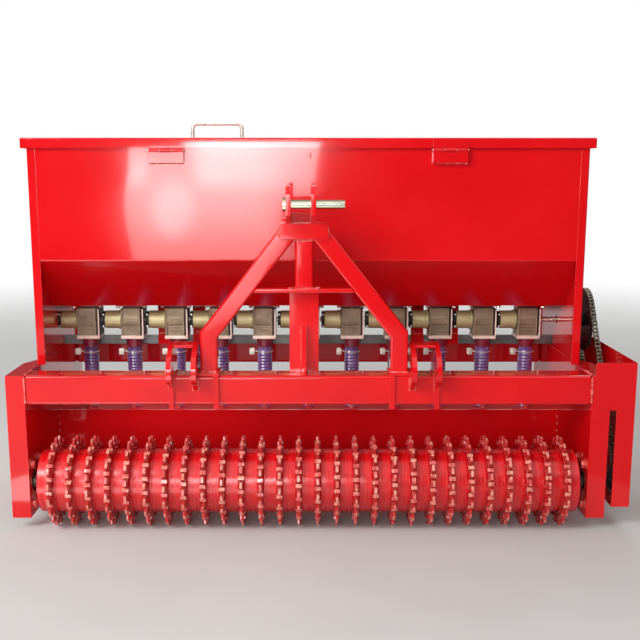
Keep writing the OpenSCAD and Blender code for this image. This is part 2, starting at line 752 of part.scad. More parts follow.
// Toothed rings pressed on the front drum
module front_rings() color(RED) placed() for (i = [0 : ring_count - 1])
    translate([(i - (ring_count - 1) / 2) * ring_pitch, front_axis_y, ring_r]) rotate([0, 90, 0]) difference() {
        translate([0, 0, -ring_t / 2]) linear_extrude(ring_t) polygon(ring_outline(i * ring_turn));
        translate([0, 0, -ring_t]) cylinder(h = 2 * ring_t, r = drum_r + weld_gap);
    }

// Smooth wedge rings on the rear drum, set between the tracks of the front rings
module rear_rings() color(RED) placed() for (i = [0 : ring_count - 2])
    translate([(i - (ring_count - 2) / 2) * ring_pitch, rear_axis_y, ring_r])
        rotate([0, 90, 0]) rotate_extrude() polygon([
            [drum_r + weld_gap, -rear_ring_foot / 2],
            [ring_r - rim_chamfer_h, -rear_ring_rim / 2 - rim_chamfer_w],
            [ring_r, -rear_ring_rim / 2], [ring_r, rear_ring_rim / 2],
            [ring_r - rim_chamfer_h, rear_ring_rim / 2 + rim_chamfer_w],
            [drum_r + weld_gap, rear_ring_foot / 2]]);

// The front roller's shaft steps down outside the bearing to carry its sprocket
module front_shaft() color(STEEL) placed() {
    bar_x(-shaft_end, shaft_end, front_axis_y, ring_r, shaft_r);
    bar_x(shaft_end, shaft_right, front_axis_y, ring_r, drive_bore_r);
}

module rear_shaft() color(STEEL) placed() bar_x(-shaft_end, shaft_end, rear_axis_y, ring_r, shaft_r);

// Flange bearings on the outer faces of the two side walls
module bearing_pair(y) both_sides() difference() {
    union() {
        block([half_out, y - bearing_w / 2 + bearing_front_gap, ring_r - bearing_h / 2],
              [half_out + bearing_plate_t, y + bearing_w / 2, ring_r + bearing_h / 2]);
        bar_x(half_out, half_out + bearing_hub_l, y, ring_r, bearing_hub_r);
    }
    bar_x(half_out - cut, half_out + bearing_hub_l + cut, y, ring_r, shaft_r + running_gap);
}

module front_bearings() color(DARK) placed() bearing_pair(front_axis_y);

module rear_bearings() color(DARK) placed()
    translate([0, 2 * rear_axis_y, 0]) mirror([0, 1, 0]) bearing_pair(rear_axis_y);

// Points along an arc of a sprocket's pitch circle, one for each link that lies on it
function arc_points(x, r, from, to, teeth) =
    let (links = round((to - from) * teeth / 360))
    [for (i = [0 : links]) let (a = from + i * (to - from) / links) [x + r * cos(a), r * sin(a)]];

// Side outline of the chain loop, grown by e from the pitch line
function loop_outline(e) = concat(
    arc_points(0, drive_r + e, 90 + wrap_angle, 270 - wrap_angle, drive_teeth),
    arc_points(axes_d, feed_r + e, -90 - wrap_angle, 90 + wrap_angle, feed_teeth));

// Roller chain as one loop: two rows of plates, joined by pins along the straight runs
module drive_chain() color([0.30, 0.29, 0.27]) placed()
    translate([chain_x, front_axis_y, ring_r]) rotate([90, 0, 90]) rotate([0, 0, axes_angle]) {
        for (side = [-1, 1]) translate([0, 0, side * (plate_in + plate_t / 2) - plate_t / 2]) difference() {
            linear_extrude(plate_t) polygon(loop_outline(plate_half));
            translate([0, 0, -cut]) linear_extrude(plate_t + 2 * cut) polygon(loop_outline(-plate_half));
        }
        for (side = [-1, 1], n = [2 : 2 : floor(run_l / chain_pitch) - 4])
            translate(drive_r * [-sin(wrap_angle), side * cos(wrap_angle)]) rotate([0, 0, side * wrap_angle])
                translate([n * chain_pitch, 0, -plate_in - plate_t / 2])
                    cylinder(h = 2 * plate_in + plate_t, r = roller_r);
    }

// Side outline of the chain guard, inset from its outer faces
function guard_outline(inset) = [
    [-guard_t + inset, guard_bottom + inset], [guard_toe, guard_bottom + inset],
    [guard_rear - inset, guard_low + inset], [guard_rear - inset, guard_top + (inset > 0 ? cut : 0)],
    [-guard_t + inset, guard_top + (inset > 0 ? cut : 0)]];

// Sheet guard over the lower part of the chain, open above and towards the machine
module chain_guard() color(RED) placed() {
    difference() {
        side_plate(guard_inner, guard_outer, guard_outline(0));
        side_plate(guard_inner - cut, guard_outer - guard_t, guard_outline(guard_t));
    }
    block([half_out, -guard_t, guard_low], [guard_inner, 0, guard_top]);
    block([half_out, guard_rear - guard_t, guard_low], [guard_inner, guard_rear, frame_top - side_flange_t]);
}

// Lid: a sheet with a flange down all four edges
module lid() color(RED) placed() difference() {
    block([-lid_half, lid_front, lid_bottom], [lid_half, lid_rear, lid_top]);
    block([-lid_half + lid_t, lid_front + lid_t, lid_bottom - cut],
          [lid_half - lid_t, lid_rear - lid_t, lid_top - lid_t]);
}

// Bent round bar with its two feet on the lid
module lid_handle() color(STEEL) placed() translate([-handle_x, lid_rear - handle_rear_gap, lid_top]) {
    both_sides() {
        translate([handle_leg_x, 0, 0]) cylinder(h = handle_h - handle_r - handle_bend, r = handle_r);
        translate([handle_leg_x - handle_bend, 0, handle_h - handle_r - handle_bend])
            rotate([90, 0, 0]) rotate_extrude(angle = 90) translate([handle_bend, 0]) circle(r = handle_r);
    }
    bar_x(-handle_leg_x + handle_bend, handle_leg_x - handle_bend, 0, handle_h - handle_r, handle_r);
}

// Places both hinges' pieces, drawn from the middle of a hinge
module each_hinge() for (x = [-hinge_x, hinge_x]) translate([x, 0, 0]) children();

// Hinge leaves on the lid's front flange with their middle knuckles
module lid_leaves() color(RED) placed() each_hinge() difference() {
    union() {
        block([-hinge_w / 2, lid_front - leaf_t, lid_bottom + knuckle_gap],
              [hinge_w / 2, lid_front, lid_bottom + lid_leaf_h]);
        block([-knuckle_l / 2, lid_front - leaf_t, hinge_z],
              [knuckle_l / 2, lid_front, lid_bottom + knuckle_gap]);
        bar_x(-knuckle_l / 2, knuckle_l / 2, hinge_y, hinge_z, knuckle_r);
    }
    bar_x(-knuckle_l / 2 - cut, knuckle_l / 2 + cut, hinge_y, hinge_z, hinge_pin_r + running_gap);
}

// Hinge leaves welded to the hopper's front panel with their outer knuckles
module hopper_leaves() color(RED) placed() each_hinge() {
    side_plate(-hinge_w / 2, hinge_w / 2, [
        [hinge_y - knuckle_web_t / 2, leaf_top - leaf_h], [hopper_front_y, leaf_top - leaf_h],
        [hopper_front_y, leaf_top], [hinge_y - knuckle_web_t / 2, leaf_top]]);
    both_sides() difference() {
        union() {
            bar_x(knuckle_l / 2 + knuckle_gap, hinge_w / 2, hinge_y, hinge_z, knuckle_r);
            block([knuckle_l / 2 + knuckle_gap, hinge_y - knuckle_web_t / 2, leaf_top],
                  [hinge_w / 2, hinge_y + knuckle_web_t / 2, hinge_z]);
        }
        bar_x(knuckle_l / 2, hinge_w / 2 + cut, hinge_y, hinge_z, hinge_pin_r);
    }
}

module hinge_pins() color(STEEL) placed() each_hinge()
    bar_x(-hinge_w / 2 - pin_end, hinge_w / 2 + pin_end, hinge_y, hinge_z, hinge_pin_r);

front_beam();
rear_beam();
side_frame_left();
side_frame_right();
roller_shield();
end_plate_left();
end_plate_right();
hopper_front();
hopper_rear();
hopper_floor();
mast_arms();
mast_head();
mast_post_upper();
mast_post_lower();
mast_brace();
mast_feet();
top_link_pin();
lower_ears_left();
lower_ears_right();
meter_housings();
meter_sleeves();
seed_funnels();
drop_tubes();
tube_clamps();
tube_guide();
spout_bar();
spout_brackets();
feed_shaft();
feed_sprocket();
feed_bearings();
front_drum();
front_rings();
front_shaft();
front_bearings();
drive_sprocket();
rear_drum();
rear_rings();
rear_shaft();
rear_bearings();
drive_chain();
chain_guard();
lid();
lid_handle();
lid_leaves();
hopper_leaves();
hinge_pins();
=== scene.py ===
"""Seed drill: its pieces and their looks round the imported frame, in a plain studio."""
from math import atan2, cos, hypot, pi, radians, sin, sqrt, tau

import bmesh
import bpy
import numpy as np
from mathutils import Matrix, Vector


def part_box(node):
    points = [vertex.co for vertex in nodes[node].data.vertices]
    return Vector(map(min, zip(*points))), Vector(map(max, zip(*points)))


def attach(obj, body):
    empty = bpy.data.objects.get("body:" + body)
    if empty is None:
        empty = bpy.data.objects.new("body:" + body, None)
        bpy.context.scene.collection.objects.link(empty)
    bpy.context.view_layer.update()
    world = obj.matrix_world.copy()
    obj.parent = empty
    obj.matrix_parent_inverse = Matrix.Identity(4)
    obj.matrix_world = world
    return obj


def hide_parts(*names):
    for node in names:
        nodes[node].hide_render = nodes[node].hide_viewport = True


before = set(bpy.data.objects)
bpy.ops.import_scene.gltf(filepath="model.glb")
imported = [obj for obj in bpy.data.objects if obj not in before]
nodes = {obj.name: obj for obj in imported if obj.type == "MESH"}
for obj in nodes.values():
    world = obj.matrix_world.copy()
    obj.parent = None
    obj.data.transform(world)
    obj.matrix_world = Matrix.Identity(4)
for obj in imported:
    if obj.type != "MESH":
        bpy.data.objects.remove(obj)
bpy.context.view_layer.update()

# The machine's own layout: X from its middle, Y from the front beam's face, Z from the ground, in metres
beam_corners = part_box("front_beam")
ORIGIN = Vector(((beam_corners[0].x + beam_corners[1].x) / 2, beam_corners[0].y, 0))
UNITS = 11                        # metering units
RINGS = 28                        # rings of the front roller
PAD_T, PAD_HALF = 0.008, 0.048    # outlet pads on the hopper's floor
SHARP = 40                        # degrees between faces from which an edge is rounded and shaded sharp
NEAR = 0.0002                     # within this, a corner lies on a face
WHITE = (1, 1, 1, 1)


def span(node):
    """Lowest and highest corner of a CAD node in the machine's own layout."""
    low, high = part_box(node)
    return low - ORIGIN, high - ORIGIN


def middle(node):
    low, high = span(node)
    return (low + high) / 2


def radius_of(node):
    """Radius of a node that lies round a line along X."""
    low, high = span(node)
    return (high.z - low.z) / 2


# Solids: each function returns points and faces

def unpack(bm):
    bm.verts.index_update()
    solid = (np.array([v.co[:] for v in bm.verts]), [[v.index for v in f.verts] for f in bm.faces])
    bm.free()
    return solid


def round_edges(bm, edges, radius, steps=2):
    if edges and radius:
        bmesh.ops.bevel(bm, geom=edges, offset=radius, offset_type="OFFSET", segments=steps, profile=0.5,
                        affect="EDGES", clamp_overlap=True)


def sharp_edges(bm):
    return [e for e in bm.edges if len(e.link_faces) == 2 and e.calc_face_angle(0) > radians(SHARP)]


def block(low, high, edge=0.001, steps=2):
    """Block between two corners, with rounded edges."""
    bm = bmesh.new()
    bmesh.ops.create_cube(bm, size=1)
    low, high = Vector(low), Vector(high)
    for v in bm.verts:
        v.co = Vector([low[k] + (v.co[k] + 0.5) * (high[k] - low[k]) for k in range(3)])
    round_edges(bm, bm.edges[:], edge, steps)
    return unpack(bm)


def rectangle(u0, u1, v0, v1):
    return [(u0, v0), (u1, v0), (u1, v1), (u0, v1)]


def prism(outline, start, end, axis="x", edge=0.001, steps=2):
    """Plate whose outline is drawn across an axis, with rounded edges."""
    order = {"x": lambda p, d: (d, p[0], p[1]), "y": lambda p, d: (p[0], d, p[1]),
             "z": lambda p, d: (p[0], p[1], d)}[axis]
    bm = bmesh.new()
    rims = [[bm.verts.new(order(p, d)) for p in outline] for d in (start, end)]
    bm.faces.new(rims[0])
    bm.faces.new(rims[1])
    for k in range(len(outline)):
        j = (k + 1) % len(outline)
        bm.faces.new((rims[0][k], rims[0][j], rims[1][j], rims[1][k]))
    bmesh.ops.recalc_face_normals(bm, faces=bm.faces[:])
    round_edges(bm, sharp_edges(bm), edge, steps)
    return unpack(bm)


def skin(rows, sides, closed=False, caps=True):
    """Faces round rows of equally many points; closed joins the last row to the first."""
    faces = []
    for k in range(rows if closed else rows - 1):
        here, there = k * sides, (k + 1) % rows * sides
        faces += [[here + s, here + (s + 1) % sides, there + (s + 1) % sides, there + s]
                  for s in range(sides)]
    if caps and not closed:
        faces += [list(reversed(range(sides))), list(range((rows - 1) * sides, rows * sides))]
    return faces


def lathe(profile, sides=48, closed=False, axis="x"):
    """Body turned about an axis from (distance along it, radius) points; closed joins last to first."""
    turn = np.arange(sides) * tau / sides
    rings = [np.stack([np.full(sides, a), r * np.cos(turn), r * np.sin(turn)], axis=1) for a, r in profile]
    order = {"x": [0, 1, 2], "y": [2, 0, 1], "z": [1, 2, 0]}[axis]
    faces = [face[:1] + face[:0:-1] for face in skin(len(profile), sides, closed)]
    return np.vstack(rings)[:, order], faces


def sweep(path, radius, sides=10, closed=False):
    """Round bar along a path of points, with one radius or one for each point."""
    path = np.array(path, float)
    count = len(path)
    radii = np.broadcast_to(np.array(radius, float), (count,))
    if closed:
        ahead = np.roll(path, -1, axis=0) - np.roll(path, 1, axis=0)
    else:
        ahead = np.gradient(path, axis=0)
    ahead /= np.linalg.norm(ahead, axis=1, keepdims=True)
    side = np.cross(ahead[0], (0.0, 0.0, 1.0))
    if np.linalg.norm(side) < 0.3:
        side = np.cross(ahead[0], (0.0, 1.0, 0.0))
    turn = np.arange(sides) * tau / sides
    points = []
    for k in range(count):
        side = side - ahead[k] * side.dot(ahead[k])
        side /= np.linalg.norm(side)
        up = np.cross(side, ahead[k])
        points.append(path[k] + radii[k] * (np.outer(np.cos(turn), side) + np.outer(np.sin(turn), up)))
    return np.vstack(points), skin(count, sides, closed)


def bead(path, radius=0.0038, pitch=0.0080):
    """Weld bead along straight stretches, with the ripples of its passes and rounded ends."""
    step = pitch / 5
    points = []
    for a, b in zip(path[:-1], path[1:]):
        a, b = np.array(a, float), np.array(b, float)
        steps = max(2, int(np.linalg.norm(b - a) / step))
        points += [a + (b - a) * k / steps for k in range(steps)]
    points.append(np.array(path[-1], float))
    along = np.arange(len(points)) * step
    ripples = 0.42 * np.abs(np.sin(pi * along / pitch))
    waver = 0.15 * np.sin(along * 97 + path[0][0] * 60)
    ends = np.sqrt(np.clip(np.minimum(along, along[-1] - along) / radius, 0.05, 1))
    return sweep(points, radius * (0.62 + ripples + waver) * ends, sides=6)


def frame_bead(x0, x1, y0, y1, z, radius=0.0035):
    """Weld bead round the foot of an upright tube or plate."""
    return bead([(x0, y0, z), (x1, y0, z), (x1, y1, z), (x0, y1, z), (x0, y0, z)], radius)


def hex_head(radius, height, washer=0.0):
    """Hexagon head standing up along +Z from its washer, as a list of solids."""
    solids = [lathe([(washer, radius * 0.94), (washer + height * 0.1, radius),
                     (washer + height * 0.8, radius), (washer + height, radius * 0.82)], sides=6, axis="z")]
    if washer:
        wide = radius * 1.35
        solids.append(lathe([(0, wide), (washer * 0.8, wide), (washer, radius * 1.28)], sides=24, axis="z"))
    return solids


FACING = {"+z": Matrix(), "-z": Matrix.Rotation(pi, 4, "X"), "-y": Matrix.Rotation(pi / 2, 4, "X"),
          "+y": Matrix.Rotation(-pi / 2, 4, "X"), "+x": Matrix.Rotation(pi / 2, 4, "Y"),
          "-x": Matrix.Rotation(-pi / 2, 4, "Y")}
MIRROR = Matrix.Diagonal((-1, 1, 1, 1))


def at(x, y, z, facing="+z", turn=0.0):
    """Moves a solid to a place, turned about its own Z first and then faced along an axis."""
    return Matrix.Translation((x, y, z)) @ FACING[facing] @ Matrix.Rotation(turn, 4, "Z")


def moved(solid, move):
    """A solid taken to its place by a matrix."""
    points, faces = solid
    points = points @ np.array(move.to_3x3()).T + np.array(move.translation)
    return points, [face[::-1] for face in faces] if move.determinant() < 0 else faces


class Piece:
    """Gathers the solids of one piece and makes its object."""

    def __init__(self):
        self.points, self.faces, self.count = [], [], 0

    def add(self, solid, move=None):
        """Adds a solid, or a list of solids, moved to its place."""
        for part in solid if isinstance(solid, list) else [solid]:
            points, faces = part if move is None else moved(part, move)
            self.points.append(points)
            self.faces += [[k + self.count for k in face] for face in faces]
            self.count += len(points)
        return self

    def mirror(self):
        """Adds the same solids again on the other side of the machine's middle."""
        points, faces = np.vstack(self.points), list(self.faces)
        return self.add((points, faces), MIRROR)

    def finish(self, name, body, look, *replaced):
        """Makes the object: it rides on a body, has a look, and may stand for CAD nodes."""
        material, slot = look
        mesh = bpy.data.meshes.new(name)
        mesh.from_pydata((np.vstack(self.points) + np.array(ORIGIN)).tolist(), [], self.faces)
        mesh.materials.append(material)
        mesh.shade_smooth()
        mesh.set_sharp_from_angle(angle=radians(SHARP))
        piece = bpy.data.objects.new(name, mesh)
        bpy.context.scene.collection.objects.link(piece)
        normals = piece.modifiers.new("normals", "WEIGHTED_NORMAL")
        normals.keep_sharp = True
        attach(piece, body)
        if replaced:
            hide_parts(*replaced)
        return piece


def softened(node, edge=0.0012, corner=0.0, at_corner=None):
    """A CAD node's own solid with rounded edges, and larger rounds on the edges that at_corner picks."""
    same_point, flat = 0.00002, radians(0.3)
    bm = bmesh.new()
    bm.from_mesh(nodes[node].data)
    bmesh.ops.remove_doubles(bm, verts=bm.verts[:], dist=same_point)
    bmesh.ops.dissolve_limit(bm, angle_limit=flat, verts=bm.verts[:], edges=bm.edges[:])
    bmesh.ops.translate(bm, vec=-ORIGIN, verts=bm.verts[:])
    if corner:
        picked = [e for e in sharp_edges(bm) if at_corner(e.verts[0].co, e.verts[1].co)]
        round_edges(bm, picked, corner, 4)
    round_edges(bm, sharp_edges(bm), edge)
    return unpack(bm)


# Materials

def add_node(tree, kind, links, **settings):
    """Shader node with its settings, and its inputs linked to sockets or set to values."""
    made = tree.nodes.new(kind)
    for key, value in settings.items():
        setattr(made, key, value)
    for socket, value in links.items():
        if isinstance(value, bpy.types.NodeSocket):
            tree.links.new(value, made.inputs[socket])
        else:
            made.inputs[socket].default_value = value
    return made


class Surface:
    """Procedural material: noise on the piece's own coordinates drives its colour, gloss and relief."""

    def __init__(self, name, **fixed):
        self.material = bpy.data.materials.new(name)
        self.material.use_nodes = True
        self.tree = self.material.node_tree
        self.shader = self.tree.nodes["Principled BSDF"]
        for socket, value in fixed.items():
            self.shader.inputs[socket.replace("_", " ")].default_value = value
        self.place = self.tree.nodes.new("ShaderNodeTexCoord").outputs["Object"]

    def node(self, kind, links, **settings):
        return add_node(self.tree, kind, links, **settings)

    def noise(self, scale, detail=3.0, stretch=(1, 1, 1), roughness=0.55):
        place = self.node("ShaderNodeMapping", {"Vector": self.place, "Scale": stretch}).outputs[0]
        return self.node("ShaderNodeTexNoise", {"Vector": place, "Scale": scale, "Detail": detail,
                                                "Roughness": roughness}).outputs["Fac"]

    def ramp(self, value, low, high, out_low=0.0, out_high=1.0):
        return self.node("ShaderNodeMapRange", {"Value": value, "From Min": low, "From Max": high,
                                                "To Min": out_low, "To Max": out_high},
                         interpolation_type="SMOOTHSTEP").outputs[0]

    def mix(self, factor, a, b):
        return self.node("ShaderNodeMix", {0: factor, 6: a, 7: b}, data_type="RGBA").outputs[2]

    def math(self, operation, a, b=0.0):
        return self.node("ShaderNodeMath", {0: a, 1: b}, operation=operation).outputs[0]

    def times(self, a, b):
        return self.math("MULTIPLY", a, b)

    def plus(self, a, b):
        return self.math("ADD", a, b)

    def split(self, vector):
        return self.node("ShaderNodeSeparateXYZ", {"Vector": vector}).outputs

    def length(self, a, b):
        """Length of the plane vector (a, b)."""
        return self.math("SQRT", self.plus(self.times(a, a), self.times(b, b)))

    def wear(self, axis_point, low, high):
        """1 on outward faces beyond a radius about a line along X, 0 within another."""
        place = self.split(self.place)
        y = self.math("SUBTRACT", place[1], axis_point[0])
        z = self.math("SUBTRACT", place[2], axis_point[1])
        radius = self.length(y, z)
        lean = self.split(self.tree.nodes.new("ShaderNodeTexCoord").outputs["Normal"])
        outward = self.math("DIVIDE", self.plus(self.times(y, lean[1]), self.times(z, lean[2])), radius)
        return self.times(self.ramp(radius, low, high), self.ramp(outward, 0.45, 0.85, 0.12, 1.0))

    def up(self):
        """Height part of the surface's direction, from -1 to 1."""
        return self.split(self.node("ShaderNodeNewGeometry", {}).outputs["Normal"])[2]

    def drive(self, socket, value):
        self.tree.links.new(value, self.shader.inputs[socket])

    def relief(self, *layers):
        """Bumps in turn: each layer is (height, distance, strength)."""
        normal = None
        for height, distance, strength in layers:
            links = {"Height": height, "Distance": distance, "Strength": strength}
            if normal is not None:
                links["Normal"] = normal
            normal = self.node("ShaderNodeBump", links).outputs[0]
        self.drive("Normal", normal)


def colour(red, green, blue):
    """Linear colour from its display values, 0 to 255."""
    return tuple((c / 255 / 12.92 if c < 10 else ((c / 255 + 0.055) / 1.055) ** 2.4)
                 for c in (red, green, blue)) + (1.0,)


def paint(name, wear_and_glints=None, depth=0.0):
    """Gloss red enamel with a slight orange peel, and dust where it looks up.

    depth darkens it all over as painted shade, and wear_and_glints gives the share of pale patches: exposed
    metal on the rings, painted glints on the welds.
    """
    s = Surface(name, Metallic=0.0, IOR=1.5, Specular_IOR_Level=0.3, Coat_Weight=0.5, Coat_Roughness=0.04)
    tint = s.mix(s.ramp(s.noise(2.2), 0.35, 0.65), colour(222, 18, 24), colour(212, 12, 20))
    dust = s.times(s.ramp(s.up(), 0.6, 1.0), s.ramp(s.noise(14, 6), 0.42, 0.75, 0.01, 0.06))
    # depth mixes in a darker red all over, as painted shade.
    tint = s.mix(depth, s.mix(dust, tint, colour(206, 120, 108)), colour(120, 4, 10))
    if wear_and_glints:
        # Pale patches: exposed metal where the paint has gone, and painted glints on the welds.
        wear_and_glint_mask = s.times(wear_and_glints(s), s.ramp(s.noise(90, 4), 0.36, 0.62, 0.35, 1.0))
        bare_metal_and_glint_tint = s.mix(s.ramp(s.noise(45, 3), 0.4, 0.62), colour(236, 116, 112), colour(232, 158, 136))
        tint = s.mix(wear_and_glint_mask, tint, bare_metal_and_glint_tint)
    s.drive("Base Color", tint)
    s.drive("Roughness", s.ramp(s.noise(7, 4), 0.3, 0.7, 0.08, 0.14))
    s.relief((s.noise(3.5, 2), 0.0012, 0.35), (s.noise(380, 2), 0.0002, 0.08))
    return s.material


def turned_paint(name):
    """Satin red enamel over the fine grooves that run round a turned drum."""
    s = Surface(name, Metallic=0.0, IOR=1.5, Specular_IOR_Level=0.7)
    lines = s.noise(230, 4, (1, 0.015, 0.015), 0.7)
    tint = s.mix(s.ramp(lines, 0.35, 0.65), colour(214, 10, 18), colour(226, 24, 32))
    s.drive("Base Color", s.mix(s.ramp(s.noise(9, 5), 0.45, 0.75, 0.0, 0.22), tint, colour(222, 60, 66)))
    s.drive("Roughness", s.ramp(lines, 0.3, 0.7, 0.22, 0.34))
    s.relief((s.noise(12, 3), 0.0006, 0.3), (lines, 0.0002, 0.35))
    return s.material


def mottled(s, tone, other, rough, scales, details, grain, strength):
    """Mottled colour, uneven gloss and a fine grain, each from noise of its own scale and detail."""
    colour_noise, gloss_noise, grain_noise = (s.noise(*pair) for pair in zip(scales, details))
    s.drive("Base Color", s.mix(s.ramp(colour_noise, 0.3, 0.7), colour(*tone), colour(*other)))
    s.drive("Roughness", s.ramp(gloss_noise, 0.3, 0.7, *rough))
    s.relief((grain_noise, grain, strength))
    return s.material


def metal(name, tone, other, metallic, rough, scale=60.0, grain=0.0002):
    """Bare or plated metal."""
    return mottled(Surface(name, Metallic=metallic), tone, other, rough,
                   (scale * 0.4, scale, scale * 8), (5, 5, 4), grain, 0.5)


def plastic(name, tone, other, rough, scales, details, **fixed):
    """Moulded plastic."""
    return mottled(Surface(name, **fixed), tone, other, rough, scales, details, 0.0002, 0.3)


def plated_pin():
    """Bright plate with painted shade along the top and the underside of the bar."""
    s = Surface("plated_pin_steel", Metallic=0.9)
    # Darker where the bar faces up or down: painted shade.
    painted_edge_shade = s.ramp(s.math("ABSOLUTE", s.up()), 0.45, 0.85)
    clean = s.mix(s.ramp(s.noise(24, 5), 0.3, 0.7), colour(238, 240, 212), colour(220, 222, 196))
    s.drive("Base Color", s.mix(painted_edge_shade, clean, colour(108, 100, 78)))
    s.drive("Roughness", s.ramp(s.noise(60, 5), 0.3, 0.7, 0.14, 0.24))
    s.relief((s.noise(480, 4), 0.0002, 0.5))
    return s.material


def roller_wear(node, none_in, full_in):
    """Wear of a roller's rings: none from one distance in from their tips, full within another."""
    hub, tip = middle(node) + ORIGIN, radius_of(node)
    return lambda s: s.wear((hub.y, hub.z), tip - none_in, tip - full_in)


# Each look is a material and the slot of the record that it stands for
RED = paint("red_enamel"), "red_paint"
# On the welds and the bolts in this look, the pale patches are painted glints.
WELD = paint("lumpy_red_enamel_painted_glints", lambda s: s.ramp(s.noise(60, 4), 0.4, 0.7, 0.2, 0.7)), "red_paint"
DRUM = turned_paint("turned_drum_enamel"), "red_paint"
# The last number darkens the rings' paint as painted shade.
WORN = paint("worn_red_enamel", roller_wear("front_rings", 0.026, 0.017), 0.45), "worn_red"
WORN_REAR = paint("worn_red_rear_enamel", roller_wear("rear_rings", 0.008, 0.0005), 0.2), "worn_red"
STEEL = metal("zinc_plated_steel", (226, 226, 206), (205, 204, 188), 0.9, (0.22, 0.4)), "plated_steel"
BRIGHT = metal("bright_zinc_plate", (238, 236, 226), (220, 218, 204), 0.5, (0.25, 0.4)), "plated_steel"
PIN = plated_pin(), "plated_steel"
ZINC = metal("yellow_zinc", (204, 194, 146), (184, 170, 124), 0.35, (0.35, 0.5), 30), "yellow_zinc"
CASTING = metal("aluminium_casting", (158, 138, 112), (136, 117, 95), 0.3, (0.36, 0.5)), "cast_housing"
# Pale casting: partly a machined finish, partly painted light on the lit rims and flanges.
MACHINED_AND_LIT = metal("machined_casting_painted_highlight", (244, 220, 206), (226, 200, 186), 0.2, (0.3, 0.45), 90), "cast_housing"
OILED = metal("oiled_shaft_steel", (92, 88, 84), (64, 60, 58), 0.8, (0.25, 0.4)), "plated_steel"
DARK = metal("blackened_steel", (52, 50, 50), (38, 37, 38), 0.6, (0.35, 0.55), 70, 0.0003), "dark_steel"
CHAIN = metal("oiled_chain_steel", (150, 142, 126), (96, 88, 76), 0.9, (0.25, 0.42), 120), "chain_steel"
GREY = metal("grey_galvanised", (128, 130, 128), (108, 108, 104), 0.5, (0.35, 0.5), 50), "grey_bar"
HOSE = plastic("violet_hose", (120, 96, 160), (86, 66, 128), (0.12, 0.2), (18, 40, 160), (3, 3, 3),
               IOR=1.45, Transmission_Weight=0.15, Coat_Weight=1.0, Coat_Roughness=0.06,
               Coat_IOR=1.9), "tube_plastic"
FUNNEL = plastic("dark_red_plastic", (136, 30, 52), (116, 22, 44), (0.3, 0.45), (22, 50, 300), (3, 3, 2),
                 IOR=1.46, Coat_Weight=0.2, Coat_Roughness=0.15), "funnel_plastic"


def refine(node, name, body="frame", look=RED, edge=0.0012, **corners):
    """Makes the piece that stands for a CAD node, from its own solid with rounded edges."""
    Piece().add(softened(node, edge, **corners)).finish(name, body, look, node)


def build_sheets():
    """Beams, side frames and hopper sheets, with their folds rounded."""
    for node in ("front_beam", "rear_beam"):
        low, high = span(node)
        tube = prism(rectangle(low.y, high.y, low.z, high.z), low.x, high.x, edge=0.009, steps=4)
        Piece().add(tube).finish(node + "_tube", "frame", RED, node)
    for node in ("side_frame_left", "side_frame_right", "roller_shield", "chain_guard", "tube_guide",
                 "spout_brackets"):
        refine(node, node + "_sheet")

    fold_z, fold_near, fold_long, corner_long = 0.768, 0.006, 0.5, 0.3
    for node in ("hopper_front", "hopper_rear"):
        refine(node, node + "_sheet", edge=0.0008, corner=0.005,
               at_corner=lambda a, b: abs(a.z - fold_z) < fold_near and abs(b.z - fold_z) < fold_near
               and abs(a.x - b.x) > fold_long)
    for node in ("end_plate_left", "end_plate_right"):
        low, high = span(node)
        outer = high.x if high.x > 0 else low.x
        refine(node, node + "_sheet", edge=0.0008, corner=0.005,
               at_corner=lambda a, b: abs(a.x - outer) < NEAR and abs(b.x - outer) < NEAR
               and abs(a.z - b.z) > corner_long)

    low, high = span("lid")

    def lid_corner(a, b):
        """Edges of the lid's top, and the upright ones at its four corners."""
        on_end = abs(abs(a.x) - high.x) < NEAR and min(abs(a.y - low.y), abs(a.y - high.y)) < NEAR
        return min(a.z, b.z) > high.z - NEAR or abs(a.z - b.z) > 0.02 and on_end

    refine("lid", "lid_sheet", "lid", edge=0.0007, corner=0.004, at_corner=lid_corner)
    refine("lid_leaves", "lid_leaf_plates", "lid", edge=0.0005)
    refine("hopper_leaves", "hopper_leaf_plates", edge=0.0005)


def rounded_rectangle(width, depth, radius, steps=4):
    """Outline of a rectangle from (0, 0) to (width, depth) with rounded corners."""
    points = []
    for cx, cy, start in ((width - radius, radius, -90), (width - radius, depth - radius, 0),
                          (radius, depth - radius, 90), (radius, radius, 180)):
        points += [(cx + radius * cos(radians(start + 90 * k / steps)),
                    cy + radius * sin(radians(start + 90 * k / steps))) for k in range(steps + 1)]
    return points


TUBE_ROUND = 0.007    # corners of the mast's square tubes


def arm_tube():
    """Right arm of the mast, from the mast's middle: round-cornered square tube, mitred at its bend."""
    low, high = span("mast_arms")
    size = high.y - low.y
    outer_x, foot, top = (high.x - low.x) / 2, low.z, high.z
    inner_x = outer_x - size
    top_x, bend = 0.060, 0.580
    run = (outer_x - top_x) / (top - bend)
    slant = sqrt(1 + run * run)
    inner_bend = top - (inner_x + size * slant - top_x) / run
    inner_top = top - (size * slant - top_x) / run
    ends = [((outer_x, foot), (inner_x, foot)), ((outer_x, bend), (inner_x, inner_bend)),
            ((top_x, top), (0.0, inner_top))]
    sections = []
    for outer, inner in ends:
        width = hypot(outer[0] - inner[0], outer[1] - inner[1])
        profile = rounded_rectangle(width, size, TUBE_ROUND)
        sections.append(np.array([(inner[0] + (outer[0] - inner[0]) * u / width, low.y + v,
                                   inner[1] + (outer[1] - inner[1]) * u / width) for u, v in profile]))
    return np.vstack(sections), skin(len(sections), len(profile))


